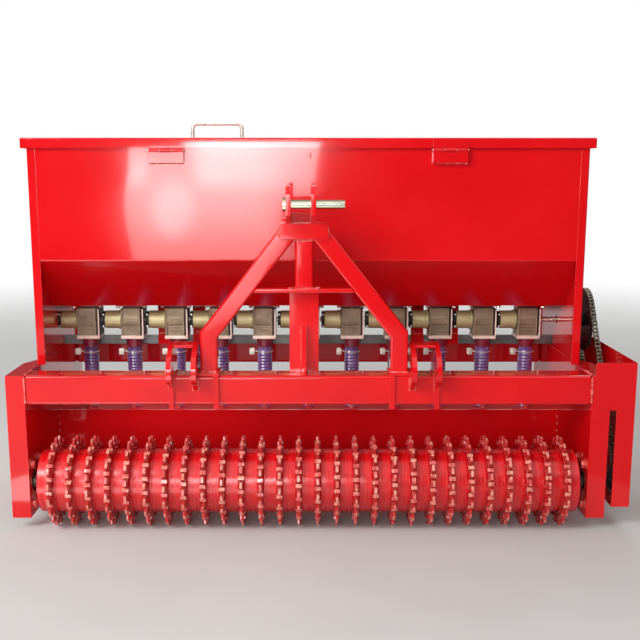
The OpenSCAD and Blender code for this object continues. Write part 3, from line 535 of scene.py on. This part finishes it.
def build_mast():
    """Arms of round-cornered square tube, head, posts, brace, feet, link plates and the top link pin."""
    centre, arm = at(middle("mast_arms").x, 0, 0), arm_tube()
    arms = Piece().add(arm, centre).add(arm, centre @ MIRROR)
    arms.finish("mast_arm_tubes", "frame", RED, "mast_arms")
    low, high = span("mast_post_upper")
    post = prism(rectangle(low.x, high.x, low.y, high.y), low.z, high.z, "z", TUBE_ROUND, 4)
    Piece().add(post).finish("mast_post_upper_tube", "frame", RED, "mast_post_upper")
    for node, edge in (("mast_head", 0.0034), ("mast_post_lower", 0.0018), ("mast_brace", 0.0030),
                       ("mast_feet", 0.0018), ("lower_ears_left", 0.0036), ("lower_ears_right", 0.0036)):
        refine(node, node + "_plates", edge=edge)
    refine("top_link_pin", "top_link_pin_turned", look=PIN)


def build_handle():
    """Bent round bar, and the weld round each foot."""
    low, high = span("lid_handle")
    radius, bend = (high.y - low.y) / 2, 0.016
    y, top = (low.y + high.y) / 2, high.z - radius
    path = [(low.x + radius, y, low.z), (low.x + radius, y, top - bend)]
    path += [(low.x + radius + bend * (1 - cos(a)), y, top - bend + bend * sin(a))
             for a in np.linspace(0, pi / 2, 9)[1:]]
    path += [(low.x + high.x - p[0], p[1], p[2]) for p in reversed(path)]
    handle = Piece().add(sweep(path, radius, sides=20))
    handle.finish("lid_handle_bar", "lid", BRIGHT, "lid_handle")
    welds, around = Piece(), radius + 0.001
    for x in (low.x + radius, high.x - radius):
        foot = [(x + around * cos(a), y + around * sin(a), low.z) for a in np.linspace(0, tau, 17)]
        welds.add(bead(foot, 0.003))
    welds.finish("lid_handle_welds", "lid", RED)


def ring_solids():
    """One cast ring about the X axis: a wide foot, tall narrow teeth and low wide lugs between them."""
    tip, foot = radius_of("front_rings"), radius_of("front_drum") - 0.004
    wide, half, count = 0.010, 0.0065, 18
    side = [(-wide, foot), (-wide, 0.0965), (-half, 0.0990), (-half, 0.107), (-half * 0.8, 0.109)]
    solids = [lathe(side + [(-a, r) for a, r in reversed(side)], 72, True)]
    tooth = prism([(-0.0125, 0.1075), (0.0125, 0.1075), (0.0092, tip - 0.0004), (-0.0092, tip - 0.0004)],
                  -0.0042, 0.0042, edge=0.0016)
    lug = prism([(-0.0078, 0.104), (0.0078, 0.104), (0.0058, 0.1160), (-0.0058, 0.1160)],
                -0.0088, 0.0088, edge=0.0014)
    for k in range(count):
        solids += [moved(solid, Matrix.Rotation(tau * (k + shift) / count, 4, "X"))
                   for solid, shift in ((tooth, 0.1), (lug, 0.6))]
    return solids


def drum_solid(node, seams):
    """Drum tube with a recessed disc in each end, and a slightly round back between the rings' seams."""
    radius, end, recess, steps = radius_of("front_drum"), span(node)[1].x, 0.006, 8
    half = [(end - recess, 0.0265), (end - recess, radius - 0.0085), (end, radius - 0.0075),
            (end, radius - 0.0030), (end - 0.0015, radius - 0.0015)]
    back = []
    for a, b in zip(seams[:-1], seams[1:]):
        crown, lean = 0.0012 + 0.0005 * sin(61 * a), 0.0006 * sin(97 * a + 1)
        for k in range(1, steps):
            u = 2 * k / steps - 1
            back.append((a + (b - a) * k / steps, radius - crown * u ** 2 - abs(lean) + lean * u))
    profile = [(-a, r) for a, r in half] + back + [(a, r) for a, r in reversed(half)]
    return lathe(profile, sides=96)


def rear_ring():
    tip, drum = radius_of("rear_rings"), radius_of("front_drum")
    side = [(-0.021, drum - 0.004), (-0.0205, drum + 0.002), (-0.0108, tip - 0.0085), (-0.0095, tip - 0.0065),
            (-0.0068, tip - 0.0014), (-0.0055, tip - 0.0003), (-0.003, tip)]
    return lathe(side + [(-a, r) for a, r in reversed(side)], sides=96, closed=True)


def build_rollers():
    """Toothed front rings, smooth rear rings and the drums."""
    ring_t, twist = 0.020, 3.75
    low, high = span("front_rings")
    hub = middle("front_rings")
    first, pitch = low.x + ring_t / 2, (high.x - low.x - ring_t) / (RINGS - 1)
    ring, front = ring_solids(), Piece()
    for k in range(RINGS):
        turn = Matrix.Rotation(radians(twist * k), 4, "X")
        front.add(ring, at(first + k * pitch, hub.y, hub.z) @ turn)
    front.finish("front_ring_castings", "front_roller", WORN, "front_rings")
    hub = middle("rear_rings")
    ring, rear = rear_ring(), Piece()
    for k in range(RINGS - 1):
        rear.add(ring, at(first + (k + 0.5) * pitch, hub.y, hub.z))
    rear.finish("rear_ring_castings", "rear_roller", WORN_REAR, "rear_rings")
    last = first + (RINGS - 1) * pitch
    for name, seams in (("front", np.linspace(first, last, RINGS)),
                        ("rear", np.linspace(first + pitch / 2, last - pitch / 2, RINGS - 1))):
        node, body = name + "_drum", name + "_roller"
        drum = Piece().add(drum_solid(node, seams), at(*middle(node)))
        drum.finish(node + "_shell", body, DRUM, node)
        refine(name + "_shaft", name + "_shaft_turned", body, OILED, 0.0015)


def unit_places():
    """Distances of the metering units from the machine's middle."""
    half = span("meter_housings")[1].x - PAD_HALF
    return np.linspace(-half, half, UNITS)


# One metering unit: x is counted from the unit's middle

def housing_solids(axis, top, bottom):
    """Cast metering housing: box and round body, with corner ribs and cast bars on its front and rear."""
    left, right, half, barrel, rib, bar, proud = -0.036, 0.029, 0.034, 0.0375, 0.004, 0.0035, 0.004
    body = lathe([(left, half), (left + 0.002, barrel), (right - 0.003, barrel), (right - 0.001, half)], 40)
    solids = [block((left, axis.y - half, bottom + 0.006), (right, axis.y + half, top - 0.007), 0.003, 3),
              moved(body, at(0, axis.y, axis.z))]
    for side in (-1, 1):
        face = axis.y + side * (barrel - 0.001)
        y0, y1 = sorted((face, face + side * proud))
        for x in (-0.0335, 0.0225):
            solids.append(block((x, y0 - 0.001, bottom + 0.012), (x + rib, y1 + 0.001, top - 0.011), 0.0008))
        for x0, x1, z in ((-0.0200, 0.0150, 0.5215), (-0.0200, 0.0150, 0.5325), (-0.0200, 0.0150, 0.5435),
                          (-0.0300, 0.0225, 0.5570)):
            solids.append(block((x0, y0, z), (x1, y1, z + bar), 0.0008))
    return solids


def cover_solids(axis, top, bottom):
    """Side cover of a housing in its recess, made dark as painted shade."""
    return [block((0.028, axis.y - 0.031, bottom + 0.012), (0.034, axis.y + 0.031, top - 0.012), 0.0005),
            block((0.033, axis.y - 0.039, bottom + 0.009), (0.037, axis.y + 0.039, top - 0.009), 0.0012)]


def flange_solids(axis, top, bottom):
    """Front rim of a housing's side cover, pale as a painted highlight, and its outlet flange, pale partly
    from its machined finish and partly as painted light.
    """
    return [block((0.0325, axis.y - 0.0407, bottom + 0.009), (0.0372, axis.y - 0.0383, top - 0.009), 0.0008),
            block((-0.037, axis.y - 0.038, bottom), (0.037, axis.y + 0.038, bottom + 0.011), 0.0018)]


def hose_solid(foot, top, radius):
    """Ringed hose between two heights."""
    wall, rib, depth, steps = 0.0035, 0.0100, 0.0022, 8
    count = int((top - foot) / rib) * steps
    outside = [(foot + rib * k / steps, radius - depth * (0.5 + 0.5 * cos(tau * k / steps)))
               for k in range(count)]
    return lathe([(foot, radius - wall)] + outside + [(top, radius - depth), (top, radius - wall)],
                 20, closed=True, axis="z")


def clamp_solids(radius, z):
    """Wire clamp round a hose, with its screw block on the left."""
    wire, gap, end_x = 0.0014, 0.2, -0.040
    loop = [((radius + 0.0012) * cos(a), (radius + 0.0012) * sin(a), z)
            for a in np.linspace(-pi + gap, pi - gap, 40)]
    path = [(end_x, loop[0][1] - 0.001, z)] + loop + [(end_x, loop[-1][1] + 0.001, z)]
    screw = lathe([(-0.0135, 0.0026), (0.0135, 0.0026)], 12, axis="y")
    head = at(-0.0430, -0.0138, z - 0.0030, "-y")
    solids = [sweep(path, wire, 6),
              block((-0.0500, -0.0140, z - 0.0100), (-0.0330, -0.0050, z + 0.0100), 0.0020),
              block((-0.0485, 0.0050, z - 0.0085), (-0.0345, 0.0105, z + 0.0085), 0.0016),
              moved(screw, at(-0.0425, 0, z))]
    return solids + [moved(part, head) for part in hex_head(0.0062, 0.0045)]


def build_metering():
    """The eleven units: outlet pads, housings, sleeves, funnels, hoses and clamps."""
    axis = middle("feed_shaft")
    low, high = span("meter_housings")
    top, bottom = high.z - PAD_T, low.z
    pad = block((-PAD_HALF, low.y, top), (PAD_HALF, high.y, high.z), 0.001)
    tube, bore = radius_of("meter_sleeves"), 0.0095
    sleeve = lathe([(-0.089, bore), (-0.089, tube - 0.0035), (-0.088, tube - 0.0022),
                    (-0.0475, tube - 0.0022), (-0.047, tube), (-0.038, tube), (-0.037, tube - 0.001),
                    (-0.037, bore)], 48)
    cap = lathe([(-0.0990, bore), (-0.0990, 0.0255), (-0.0975, 0.0270), (-0.0900, 0.0270),
                 (-0.0885, 0.0255), (-0.0885, bore)], 40, closed=True)
    stud = lathe([(-0.029, 0.0022), (-0.0285, 0.0030), (-0.020, 0.0030)], 12, axis="y")
    hose_low, hose_high = span("drop_tubes")
    hose_r, hose_top = (hose_high.y - hose_low.y) / 2, hose_high.z
    hose = hose_solid(hose_low.z, hose_top, hose_r)
    funnel = lathe([(hose_top - 0.026, 0.0187), (hose_top - 0.026, 0.0216), (hose_top, 0.0216),
                    (hose_top + 0.001, 0.0240), (hose_top + 0.006, 0.0246), (bottom - 0.004, 0.0266),
                    (bottom, 0.0270), (bottom, 0.0240), (hose_top + 0.004, 0.0190)], 40, True, "z")
    middle_plane, on_axis, upright = at(0, 0, 0), at(0, axis.y, axis.z), at(0, axis.y, 0)
    corners = [at(sx * 0.0425, axis.y + sy * 0.034, top, "-z", 0.3 * sx) for sx in (-1, 1) for sy in (-1, 1)]
    stud_places = [at(-0.0937, axis.y, axis.z + z) for z in (-0.019, 0.019)]
    on_guide = at(0, axis.y - 0.046, span("tube_guide")[1].z, "+z", 0.5)
    for name, look, solid, places, *replaced in (
            ("outlet_pads", RED, pad, [middle_plane]),
            ("outlet_pad_screws", STEEL, hex_head(0.0065, 0.0045, 0.0012), corners),
            ("meter_housing_castings", CASTING, housing_solids(axis, top, bottom), [middle_plane],
             "meter_housings"),
            ("meter_outlet_flanges", MACHINED_AND_LIT, flange_solids(axis, top, bottom), [middle_plane]),
            # The side covers take the dark steel as painted shade.
            ("meter_side_covers", DARK, cover_solids(axis, top, bottom), [middle_plane]),
            ("meter_sleeve_tubes", ZINC, sleeve, [on_axis], "meter_sleeves"),
            ("meter_sleeve_caps", DARK, cap, [on_axis]),
            ("meter_cap_studs", BRIGHT, stud, stud_places),
            ("seed_funnel_mouldings", FUNNEL, funnel, [upright], "seed_funnels"),
            ("drop_hoses", HOSE, hose, [upright], "drop_tubes"),
            ("hose_wire_clamps", BRIGHT, clamp_solids(hose_r, hose_top - 0.0165), [upright], "tube_clamps"),
            ("tube_guide_bolts", WELD, hex_head(0.0078, 0.0070, 0.0012), [on_guide])):
        piece = Piece()
        for x in unit_places():
            for place in places:
                piece.add(solid, at(x, 0, 0) @ place)
        piece.finish(name, "frame", look, *replaced)
    refine("spout_bar", "spout_flat_bar", look=GREY)
    refine("feed_shaft", "feed_shaft_turned", "feed", STEEL, 0.0008)


def build_welds():
    """Weld beads where the frame, the mast, the link plates and the hinges join, and the small clips."""
    welds = Piece()

    def run(*path, size=()):
        welds.add(bead(path, *size))

    def along_x(x0, x1, y, z, *size):
        run((x0, y, z), (x1, y, z), size=size)

    def along_y(x, y0, y1, z, *size):
        run((x, y0, z), (x, y1, z), size=size)

    def along_z(x, y, z0, z1, *size):
        run((x, y, z0), (x, y, z1), size=size)

    beam, shield = span("front_beam"), span("roller_shield")
    beam_end, beam_low, beam_top = beam[1].x - 0.0005, beam[0].z, beam[1].z
    for side in (-1, 1):
        x = side * beam_end
        run((x, 0.0, beam_low + 0.004), (x, -0.0005, beam_top - 0.003), size=(0.0042,))
        along_y(x - side * 0.001, 0.006, beam[1].y - 0.004, beam_top, 0.0035)
    for side in (-1, 1):
        for z in np.arange(shield[0].z + 0.012, shield[1].z - 0.010, 0.024):
            along_z(side * (shield[1].x - 0.0015), shield[0].y - 0.0005, z, z + 0.011, 0.0042)

    arms, centre = span("mast_arms"), middle("mast_arms").x
    tube, half = arms[1].y - arms[0].y, (arms[1].x - arms[0].x) / 2
    for side in (-1, 1):
        x0, x1 = sorted((centre + side * (half - tube), centre + side * half))
        welds.add(frame_bead(x0, x1, arms[0].y, arms[1].y, arms[0].z))
    upper, lower, brace = (span("mast_" + name) for name in ("post_upper", "post_lower", "brace"))
    brace_top, post_y = brace[1].z, lower[1].y - 0.0105
    welds.add(frame_bead(upper[0].x, upper[1].x, upper[0].y, upper[1].y, brace_top, 0.0038))
    along_x(lower[0].x + 0.002, lower[1].x - 0.002, post_y, beam_top)
    along_x(lower[0].x + 0.004, lower[1].x - 0.004, post_y, brace[0].z)
    rib, rib_front, rib_height = 0.0072, 0.0535, 0.136
    for side in (-1, 1):
        x = centre + side * rib
        run((x, 0.006, beam_top), (x, rib_front, beam_top), (x, rib_front, beam_top + rib_height),
            size=(0.0032,))
        along_x(centre + side * 0.030, centre + side * 0.046, 0.0105, brace_top + 0.001, 0.005, 0.007)
        along_y(centre + side * (brace[1].x - centre - 0.002), 0.013, 0.062, brace_top, 0.0035)

    head_low, head_top, head_y = arms[1].z - 0.036, arms[1].z + 0.008, arms[0].y - 0.001
    head_half, joint_half = 0.0672, 0.030
    along_x(centre - joint_half, centre + joint_half, head_y, head_low - 0.001, 0.0055, 0.008)
    for side in (-1, 1):
        along_z(centre + side * head_half, head_y, head_low + 0.004, head_top - 0.012, 0.0045, 0.007)
    link, ear_in, ear_out = centre - 0.008, 0.0275, 0.0415
    for x, away in ((link - ear_in, 1), (link - ear_out, -1), (link + ear_in, -1), (link + ear_out, 1)):
        along_y(x + away * 0.0005, 0.008, 0.060, head_top, 0.0042, 0.007)

    plate_t, plate_foot = 0.014, 0.412
    for node in ("lower_ears_left", "lower_ears_right"):
        low, high = span(node)
        for x, away in ((low.x, -1), (low.x + plate_t, 1), (high.x - plate_t, -1), (high.x, 1)):
            x += away * 0.0003
            run((x, -0.0003, plate_foot), (x, -0.0003, beam_top - 0.008), (x, 0.009, beam_top),
                (x, 0.083, beam_top), size=(0.0032,))

    leaves, panel = span("hopper_leaves"), span("hopper_front")[0].y
    half, width = (leaves[1].x - leaves[0].x) / 2, 0.096
    y, foot, rise = panel - 0.001, leaves[0].z, leaves[0].z + 0.024
    for x in (-half, half - width):
        run((x, y, rise), (x, y, foot), (x + width, y, foot), (x + width, y, rise), size=(0.0032, 0.006))

    brackets, bar = span("spout_brackets"), span("spout_bar")
    wide, gap = 0.042, 0.115
    left, right = brackets[0].x, brackets[1].x - wide
    clips = Piece()
    for x in (left, left + gap, right - gap, right):
        clips.add(block((x, bar[0].y - 0.004, bar[0].z - 0.003),
                        (x + wide, bar[0].y, bar[1].z + 0.004), 0.0012))
        along_x(x + 0.003, x + wide - 0.003, bar[0].y - 0.002, bar[1].z + 0.005, 0.0055, 0.009)
    clips.finish("spout_bar_clips", "frame", RED)
    # Small stop at the top of the hopper's front, near its middle
    welds.add(block((0.002, panel - 0.005, 1.063), (0.008, panel + 0.0005, 1.079), 0.0015))
    welds.finish("frame_welds", "frame", WELD)


def build_bearings():
    """Flange bearings with bolts and grease nipples, and the small ones of the feed shaft."""
    outer, inner = hex_head(0.011, 0.008, 0.002), hex_head(0.0115, 0.011, 0.002)
    nipple = lathe([(0, 0.0045), (0.006, 0.0045), (0.007, 0.003), (0.010, 0.003), (0.012, 0.0022)], 12,
                   axis="z")
    wall_t, plate_t, hub_r, bore = 0.008, 0.014, 0.044, 0.0252
    wall = span("side_frame_right")[0].x + wall_t
    plate = wall + plate_t
    for name in ("front", "rear"):
        low, high = span(name + "_bearings")
        axis, end = middle(name + "_shaft"), high.x
        outline = [(low.y + u, low.z + v)
                   for u, v in rounded_rectangle(high.y - low.y, high.z - low.z, 0.018)]
        housing = Piece().add(prism(outline, wall, plate, edge=0.002))
        profile = [(wall + 0.004, bore), (wall + 0.004, hub_r + 0.006), (plate + 0.003, hub_r + 0.004),
                   (plate + 0.008, hub_r), (end - 0.003, hub_r - 0.002), (end, hub_r - 0.005), (end, 0.034),
                   (end - 0.004, 0.033), (end - 0.004, bore)]
        housing.add(lathe(profile, 56, closed=True), at(0, axis.y, axis.z))
        housing.add(nipple, at(wall + 0.026, axis.y, axis.z + hub_r - 0.003))
        housing.mirror().finish(name + "_bearing_housings", "frame", DARK, name + "_bearings")
        outside, inside = Piece(), Piece()
        for y in (low.y + 0.016, high.y - 0.016):
            for z in (low.z + 0.015, high.z - 0.015):
                outside.add(outer, at(plate, y, z, "+x", 0.2))
                inside.add(inner, at(wall - wall_t, y, z, "-x", 0.5))
        outside.mirror().finish(name + "_bearing_nuts", "frame", STEEL)
        inside.mirror().finish(name + "_bearing_bolts", "frame", WELD)

    low, high = span("feed_bearings")
    axis, bore = middle("feed_shaft"), 0.0082
    ear, wall, end = radius_of("feed_bearings"), span("end_plate_right")[1].x, high.x
    outline = [(axis.y + ear * cos(a) * 0.98, axis.z + ear * sin(a) * 0.82)
               for a in np.linspace(0, tau, 33)[:-1]]
    small = Piece().add(prism(outline, wall, wall + 0.006, edge=0.0012))
    small.add(lathe([(wall + 0.002, bore), (wall + 0.002, 0.019), (end - 0.002, 0.018), (end, 0.0165),
                     (end, bore)], 40, closed=True), at(0, axis.y, axis.z))
    small.mirror().finish("feed_bearing_housings", "frame", DARK, "feed_bearings")


def chain_path():
    """Points of the chain's pins round both sprockets, in the side view, an even number of them."""
    small, large = middle("drive_sprocket"), middle("feed_sprocket")
    pitch, teeth, arc_steps = 0.0127, (16, 48), 240
    radius = [pitch / (2 * sin(pi / n)) for n in teeth]
    reach = hypot(large.y - small.y, large.z - small.z)
    heading = atan2(large.z - small.z, large.y - small.y)
    wrap = np.arcsin((radius[1] - radius[0]) / reach)
    curve = []
    for centre, r, start, end in ((small, radius[0], pi / 2 + wrap, 3 * pi / 2 - wrap),
                                  (large, radius[1], -pi / 2 - wrap, pi / 2 + wrap)):
        curve += [(centre.y + r * cos(heading + a), centre.z + r * sin(heading + a))
                  for a in np.linspace(start, end, arc_steps)]
    curve.append(curve[0])
    curve = np.array(curve)
    steps = np.linalg.norm(np.diff(curve, axis=0), axis=1)
    along = np.concatenate([[0], np.cumsum(steps)])
    count = 2 * round(along[-1] / pitch / 2)
    marks = np.arange(count) * along[-1] / count
    return np.stack([np.interp(marks, along, curve[:, k]) for k in (0, 1)], axis=1)


def build_chain():
    """Roller chain with waisted plates, rollers and pins, and the two sprockets."""
    pins = chain_path()
    x = middle("drive_chain").x
    pitch = float(np.linalg.norm(pins[1] - pins[0]))
    round_r, waist = 0.0056, 0.0040
    turns = np.linspace(0.35, pi - 0.35, 7)
    outline = [(-round_r * sin(a), round_r * cos(a)) for a in turns] + [(pitch / 2, -waist)]
    outline += [(pitch + round_r * sin(a), -round_r * cos(a)) for a in turns] + [(pitch / 2, waist)]
    roller = lathe([(-0.0040, 0.0042), (0.0040, 0.0042)], 12)
    pin = lathe([(-0.0088, 0.0021), (-0.0083, 0.0025), (0.0083, 0.0025), (0.0088, 0.0021)], 10)
    chain = Piece()
    for k, (y, z) in enumerate(pins):
        ahead = pins[(k + 1) % len(pins)]
        turn = atan2(ahead[1] - z, ahead[0] - y)
        link = at(x, y, z) @ Matrix.Rotation(turn, 4, "X")
        inner, outer = (0.0041, 0.0056) if k % 2 else (0.0062, 0.0078)
        for low, high in ((inner, outer), (-outer, -inner)):
            chain.add(prism(outline, low, high, edge=0.0), link)
        chain.add(roller, link)
        chain.add(pin, link)
    chain.finish("roller_chain_links", "frame", CHAIN, "drive_chain")
    for node, body in (("feed_sprocket", "feed"), ("drive_sprocket", "front_roller")):
        refine(node, node + "_plate", body, DARK, 0.0006)


# Studio

def seen_rays(tree):
    """1 for camera rays, and for the glossy and clear surfaces' rays, so that they show the studio too."""
    rays = tree.nodes.new("ShaderNodeLightPath").outputs
    seen = rays["Is Camera Ray"]
    for kind in ("Is Glossy Ray", "Is Transmission Ray"):
        seen = add_node(tree, "ShaderNodeMath", {0: seen, 1: rays[kind]}, operation="MAXIMUM").outputs[0]
    return seen


def build_studio():
    """Pale floor that fades to white far away, in white surroundings."""
    bpy.ops.mesh.primitive_plane_add(size=60)
    floor = bpy.context.object
    floor.name = "studio_floor"
    s = Surface("pale_floor", Roughness=0.8, Specular_IOR_Level=0.0)
    pale, paler = colour(208, 208, 206), colour(214, 214, 212)
    s.drive("Base Color", s.mix(s.ramp(s.noise(1.5, 4), 0.3, 0.7), paler, pale))
    distance = s.node("ShaderNodeVectorMath", {0: s.place}, operation="LENGTH").outputs["Value"]
    white = s.times(s.ramp(distance, 2.2, 7.0), seen_rays(s.tree))
    glow = s.node("ShaderNodeEmission", {"Color": WHITE, "Strength": 1.0}).outputs[0]
    mixed = s.node("ShaderNodeMixShader", {0: white, 1: s.shader.outputs[0], 2: glow}).outputs[0]
    s.tree.links.new(mixed, s.tree.nodes["Material Output"].inputs["Surface"])
    floor.data.materials.append(s.material)

    world = bpy.data.worlds.new("studio")
    bpy.context.scene.world = world
    world.use_nodes = True
    tree = world.node_tree
    tree.nodes.clear()
    strength = add_node(tree, "ShaderNodeMapRange", {"Value": seen_rays(tree), "To Min": 0.36}).outputs[0]
    background = add_node(tree, "ShaderNodeBackground", {"Color": WHITE, "Strength": strength}).outputs[0]
    add_node(tree, "ShaderNodeOutputWorld", {"Surface": background})


def lamp(name, place, target, size, power):
    """Soft rectangular lamp aimed at a point, in the machine's own layout."""
    light = bpy.data.lights.new(name, "AREA")
    light.shape = "RECTANGLE"
    light.size, light.size_y = size
    light.energy = power
    made = bpy.data.objects.new(name, light)
    made.location = Vector(place) + ORIGIN
    aim = Vector(target) - Vector(place)
    made.rotation_euler = aim.to_track_quat("-Z", "Y").to_euler()
    bpy.context.scene.collection.objects.link(made)
    return made


def reflected(name, points, faces, glow):
    """Studio surface that only reflections see; glow gives its strength from x and z in the layout."""
    mesh = bpy.data.meshes.new(name)
    mesh.from_pydata(points, [], faces)
    made = bpy.data.objects.new(name, mesh)
    made.location = ORIGIN
    bpy.context.scene.collection.objects.link(made)
    s = Surface(name, Roughness=1.0)
    place = s.split(s.place)
    lit = s.node("ShaderNodeEmission", {"Color": WHITE, "Strength": glow(s, place[0], place[2])})
    s.tree.links.new(lit.outputs[0], s.tree.nodes["Material Output"].inputs["Surface"])
    mesh.materials.append(s.material)
    for rays in ("camera", "diffuse", "shadow", "transmission"):
        setattr(made, "visible_" + rays, False)


def dark_room():
    """Grey walls and floor round the machine, darker on the right, so that the enamel keeps its depth."""
    sides, centre_y, near, far, floor_z, wall_z = 32, 0.36, 1.3, 4.0, 0.004, 2.4
    points = [(radius * cos(a), centre_y + radius * sin(a), z)
              for radius, z in ((near, floor_z), (far, floor_z), (far, wall_z))
              for a in np.arange(sides) * tau / sides]

    def glow(s, x, z):
        high = s.ramp(z, 0.01, 0.06)
        floor = s.times(s.ramp(x, -1.2, 1.2, 0.85, 0.22), s.math("SUBTRACT", 1.0, high))
        return s.plus(floor, s.times(s.ramp(x, -2.0, 2.0, 0.09, 0.05), high))

    reflected("grey_walls", points, skin(3, sides, caps=False), glow)


def bright_card():
    """Bright card behind the camera, which the hopper's front reflects left of the mast."""
    left = [(-1.08, 0.12), (-1.08, 0.49), (-1.095, 0.56), (-1.115, 0.68), (-1.125, 0.80), (-1.118, 0.90),
            (-1.088, 1.04), (-1.085, 1.166), (-0.745, 1.168), (-0.743, 1.25)]
    right = [(0.074, 1.25), (0.070, 1.16), (0.045, 1.00), (0.038, 0.875), (-0.12, 0.855), (-0.168, 0.76),
             (-0.17, 0.63), (-0.085, 0.62), (-0.085, 0.475), (-0.20, 0.45), (-0.20, 0.34), (-0.12, 0.325),
             (-0.12, 0.12)]
    points = [(x, -3.0, z) for x, z in left + right]

    def glow(s, x, z):
        """Brighter upwards, with a soft patch on the left, a dim right side and a bright top for the lid."""
        base = s.times(s.ramp(z, 0.45, 0.90, 4.6, 11.0), s.ramp(z, 0.08, 0.36, 0.45, 1.0))
        upper = s.times(s.ramp(x, -0.75, -0.62, 0.0, 7.5), s.ramp(z, 0.86, 1.02))
        edge = s.times(s.ramp(x, -1.02, -0.95, 6.0, 0.0), s.ramp(z, 0.88, 1.02))
        across = s.math("DIVIDE", s.plus(x, 0.827), 0.16)
        up = s.math("DIVIDE", s.math("SUBTRACT", z, 0.8), 0.22)
        patch = s.ramp(s.length(across, up), 0.4, 1.1, 5.7, 0.0)
        total = s.plus(s.plus(base, upper), s.plus(edge, patch))
        faded = s.times(total, s.ramp(x, -0.35, 0.0, 1.0, 0.6))
        return s.plus(faded, s.ramp(z, 1.160, 1.175, 0.0, 12.0))

    reflected("bright_card", points, [list(range(len(points)))], glow)


def bright_floor():
    """Bright patch of floor before the roller, which the drum's sections reflect."""
    points = [(x, y, 0.003) for x, y in rectangle(-1.7, 0.5, -1.45, -0.24)]
    reflected("bright_floor", points, [[0, 1, 2, 3]], lambda s, x, _: s.ramp(x, -1.1, 0.4, 5.5, 0.6))


def build_camera():
    """Camera at the photo's place, fitted to the edges measured in it."""
    place, pitch, lens, shift = (0, -2.7112, 1.0272), 10.7, 55.05, (0.0183, 0.0561)
    camera = bpy.data.objects.new("camera", bpy.data.cameras.new("camera"))
    bpy.context.scene.collection.objects.link(camera)
    camera.location = Vector(place) + ORIGIN
    camera.rotation_euler = (radians(90 - pitch), 0, 0)
    camera.data.sensor_width = 36
    camera.data.lens = lens
    camera.data.shift_x, camera.data.shift_y = shift
    bpy.context.scene.camera = camera


def build_lights():
    """Soft lamps; reflections don't see the front one, which only lifts the colours."""
    lamp("key", (-2.9, -3.1, 3.2), (0, 0, 0.6), (2.4, 1.8), 180)
    lamp("fill", (2.6, -3.6, 2.8), (0, 0, 0.5), (2.4, 2.0), 8)
    lamp("back", (0.5, 3.4, 4.0), (0, 0.3, 0.8), (3.5, 1.6), 70)
    front = lamp("front", (-0.8, -4.5, 1.7), (0, 0, 0.4), (3.0, 0.8), 74)
    front.visible_glossy = False


bpy.context.scene.view_settings.view_transform = "Standard"
build_camera()
build_studio()
dark_room()
bright_card()
bright_floor()
build_lights()
build_sheets()
build_mast()
build_handle()
build_rollers()
build_metering()
build_welds()
build_bearings()
build_chain()
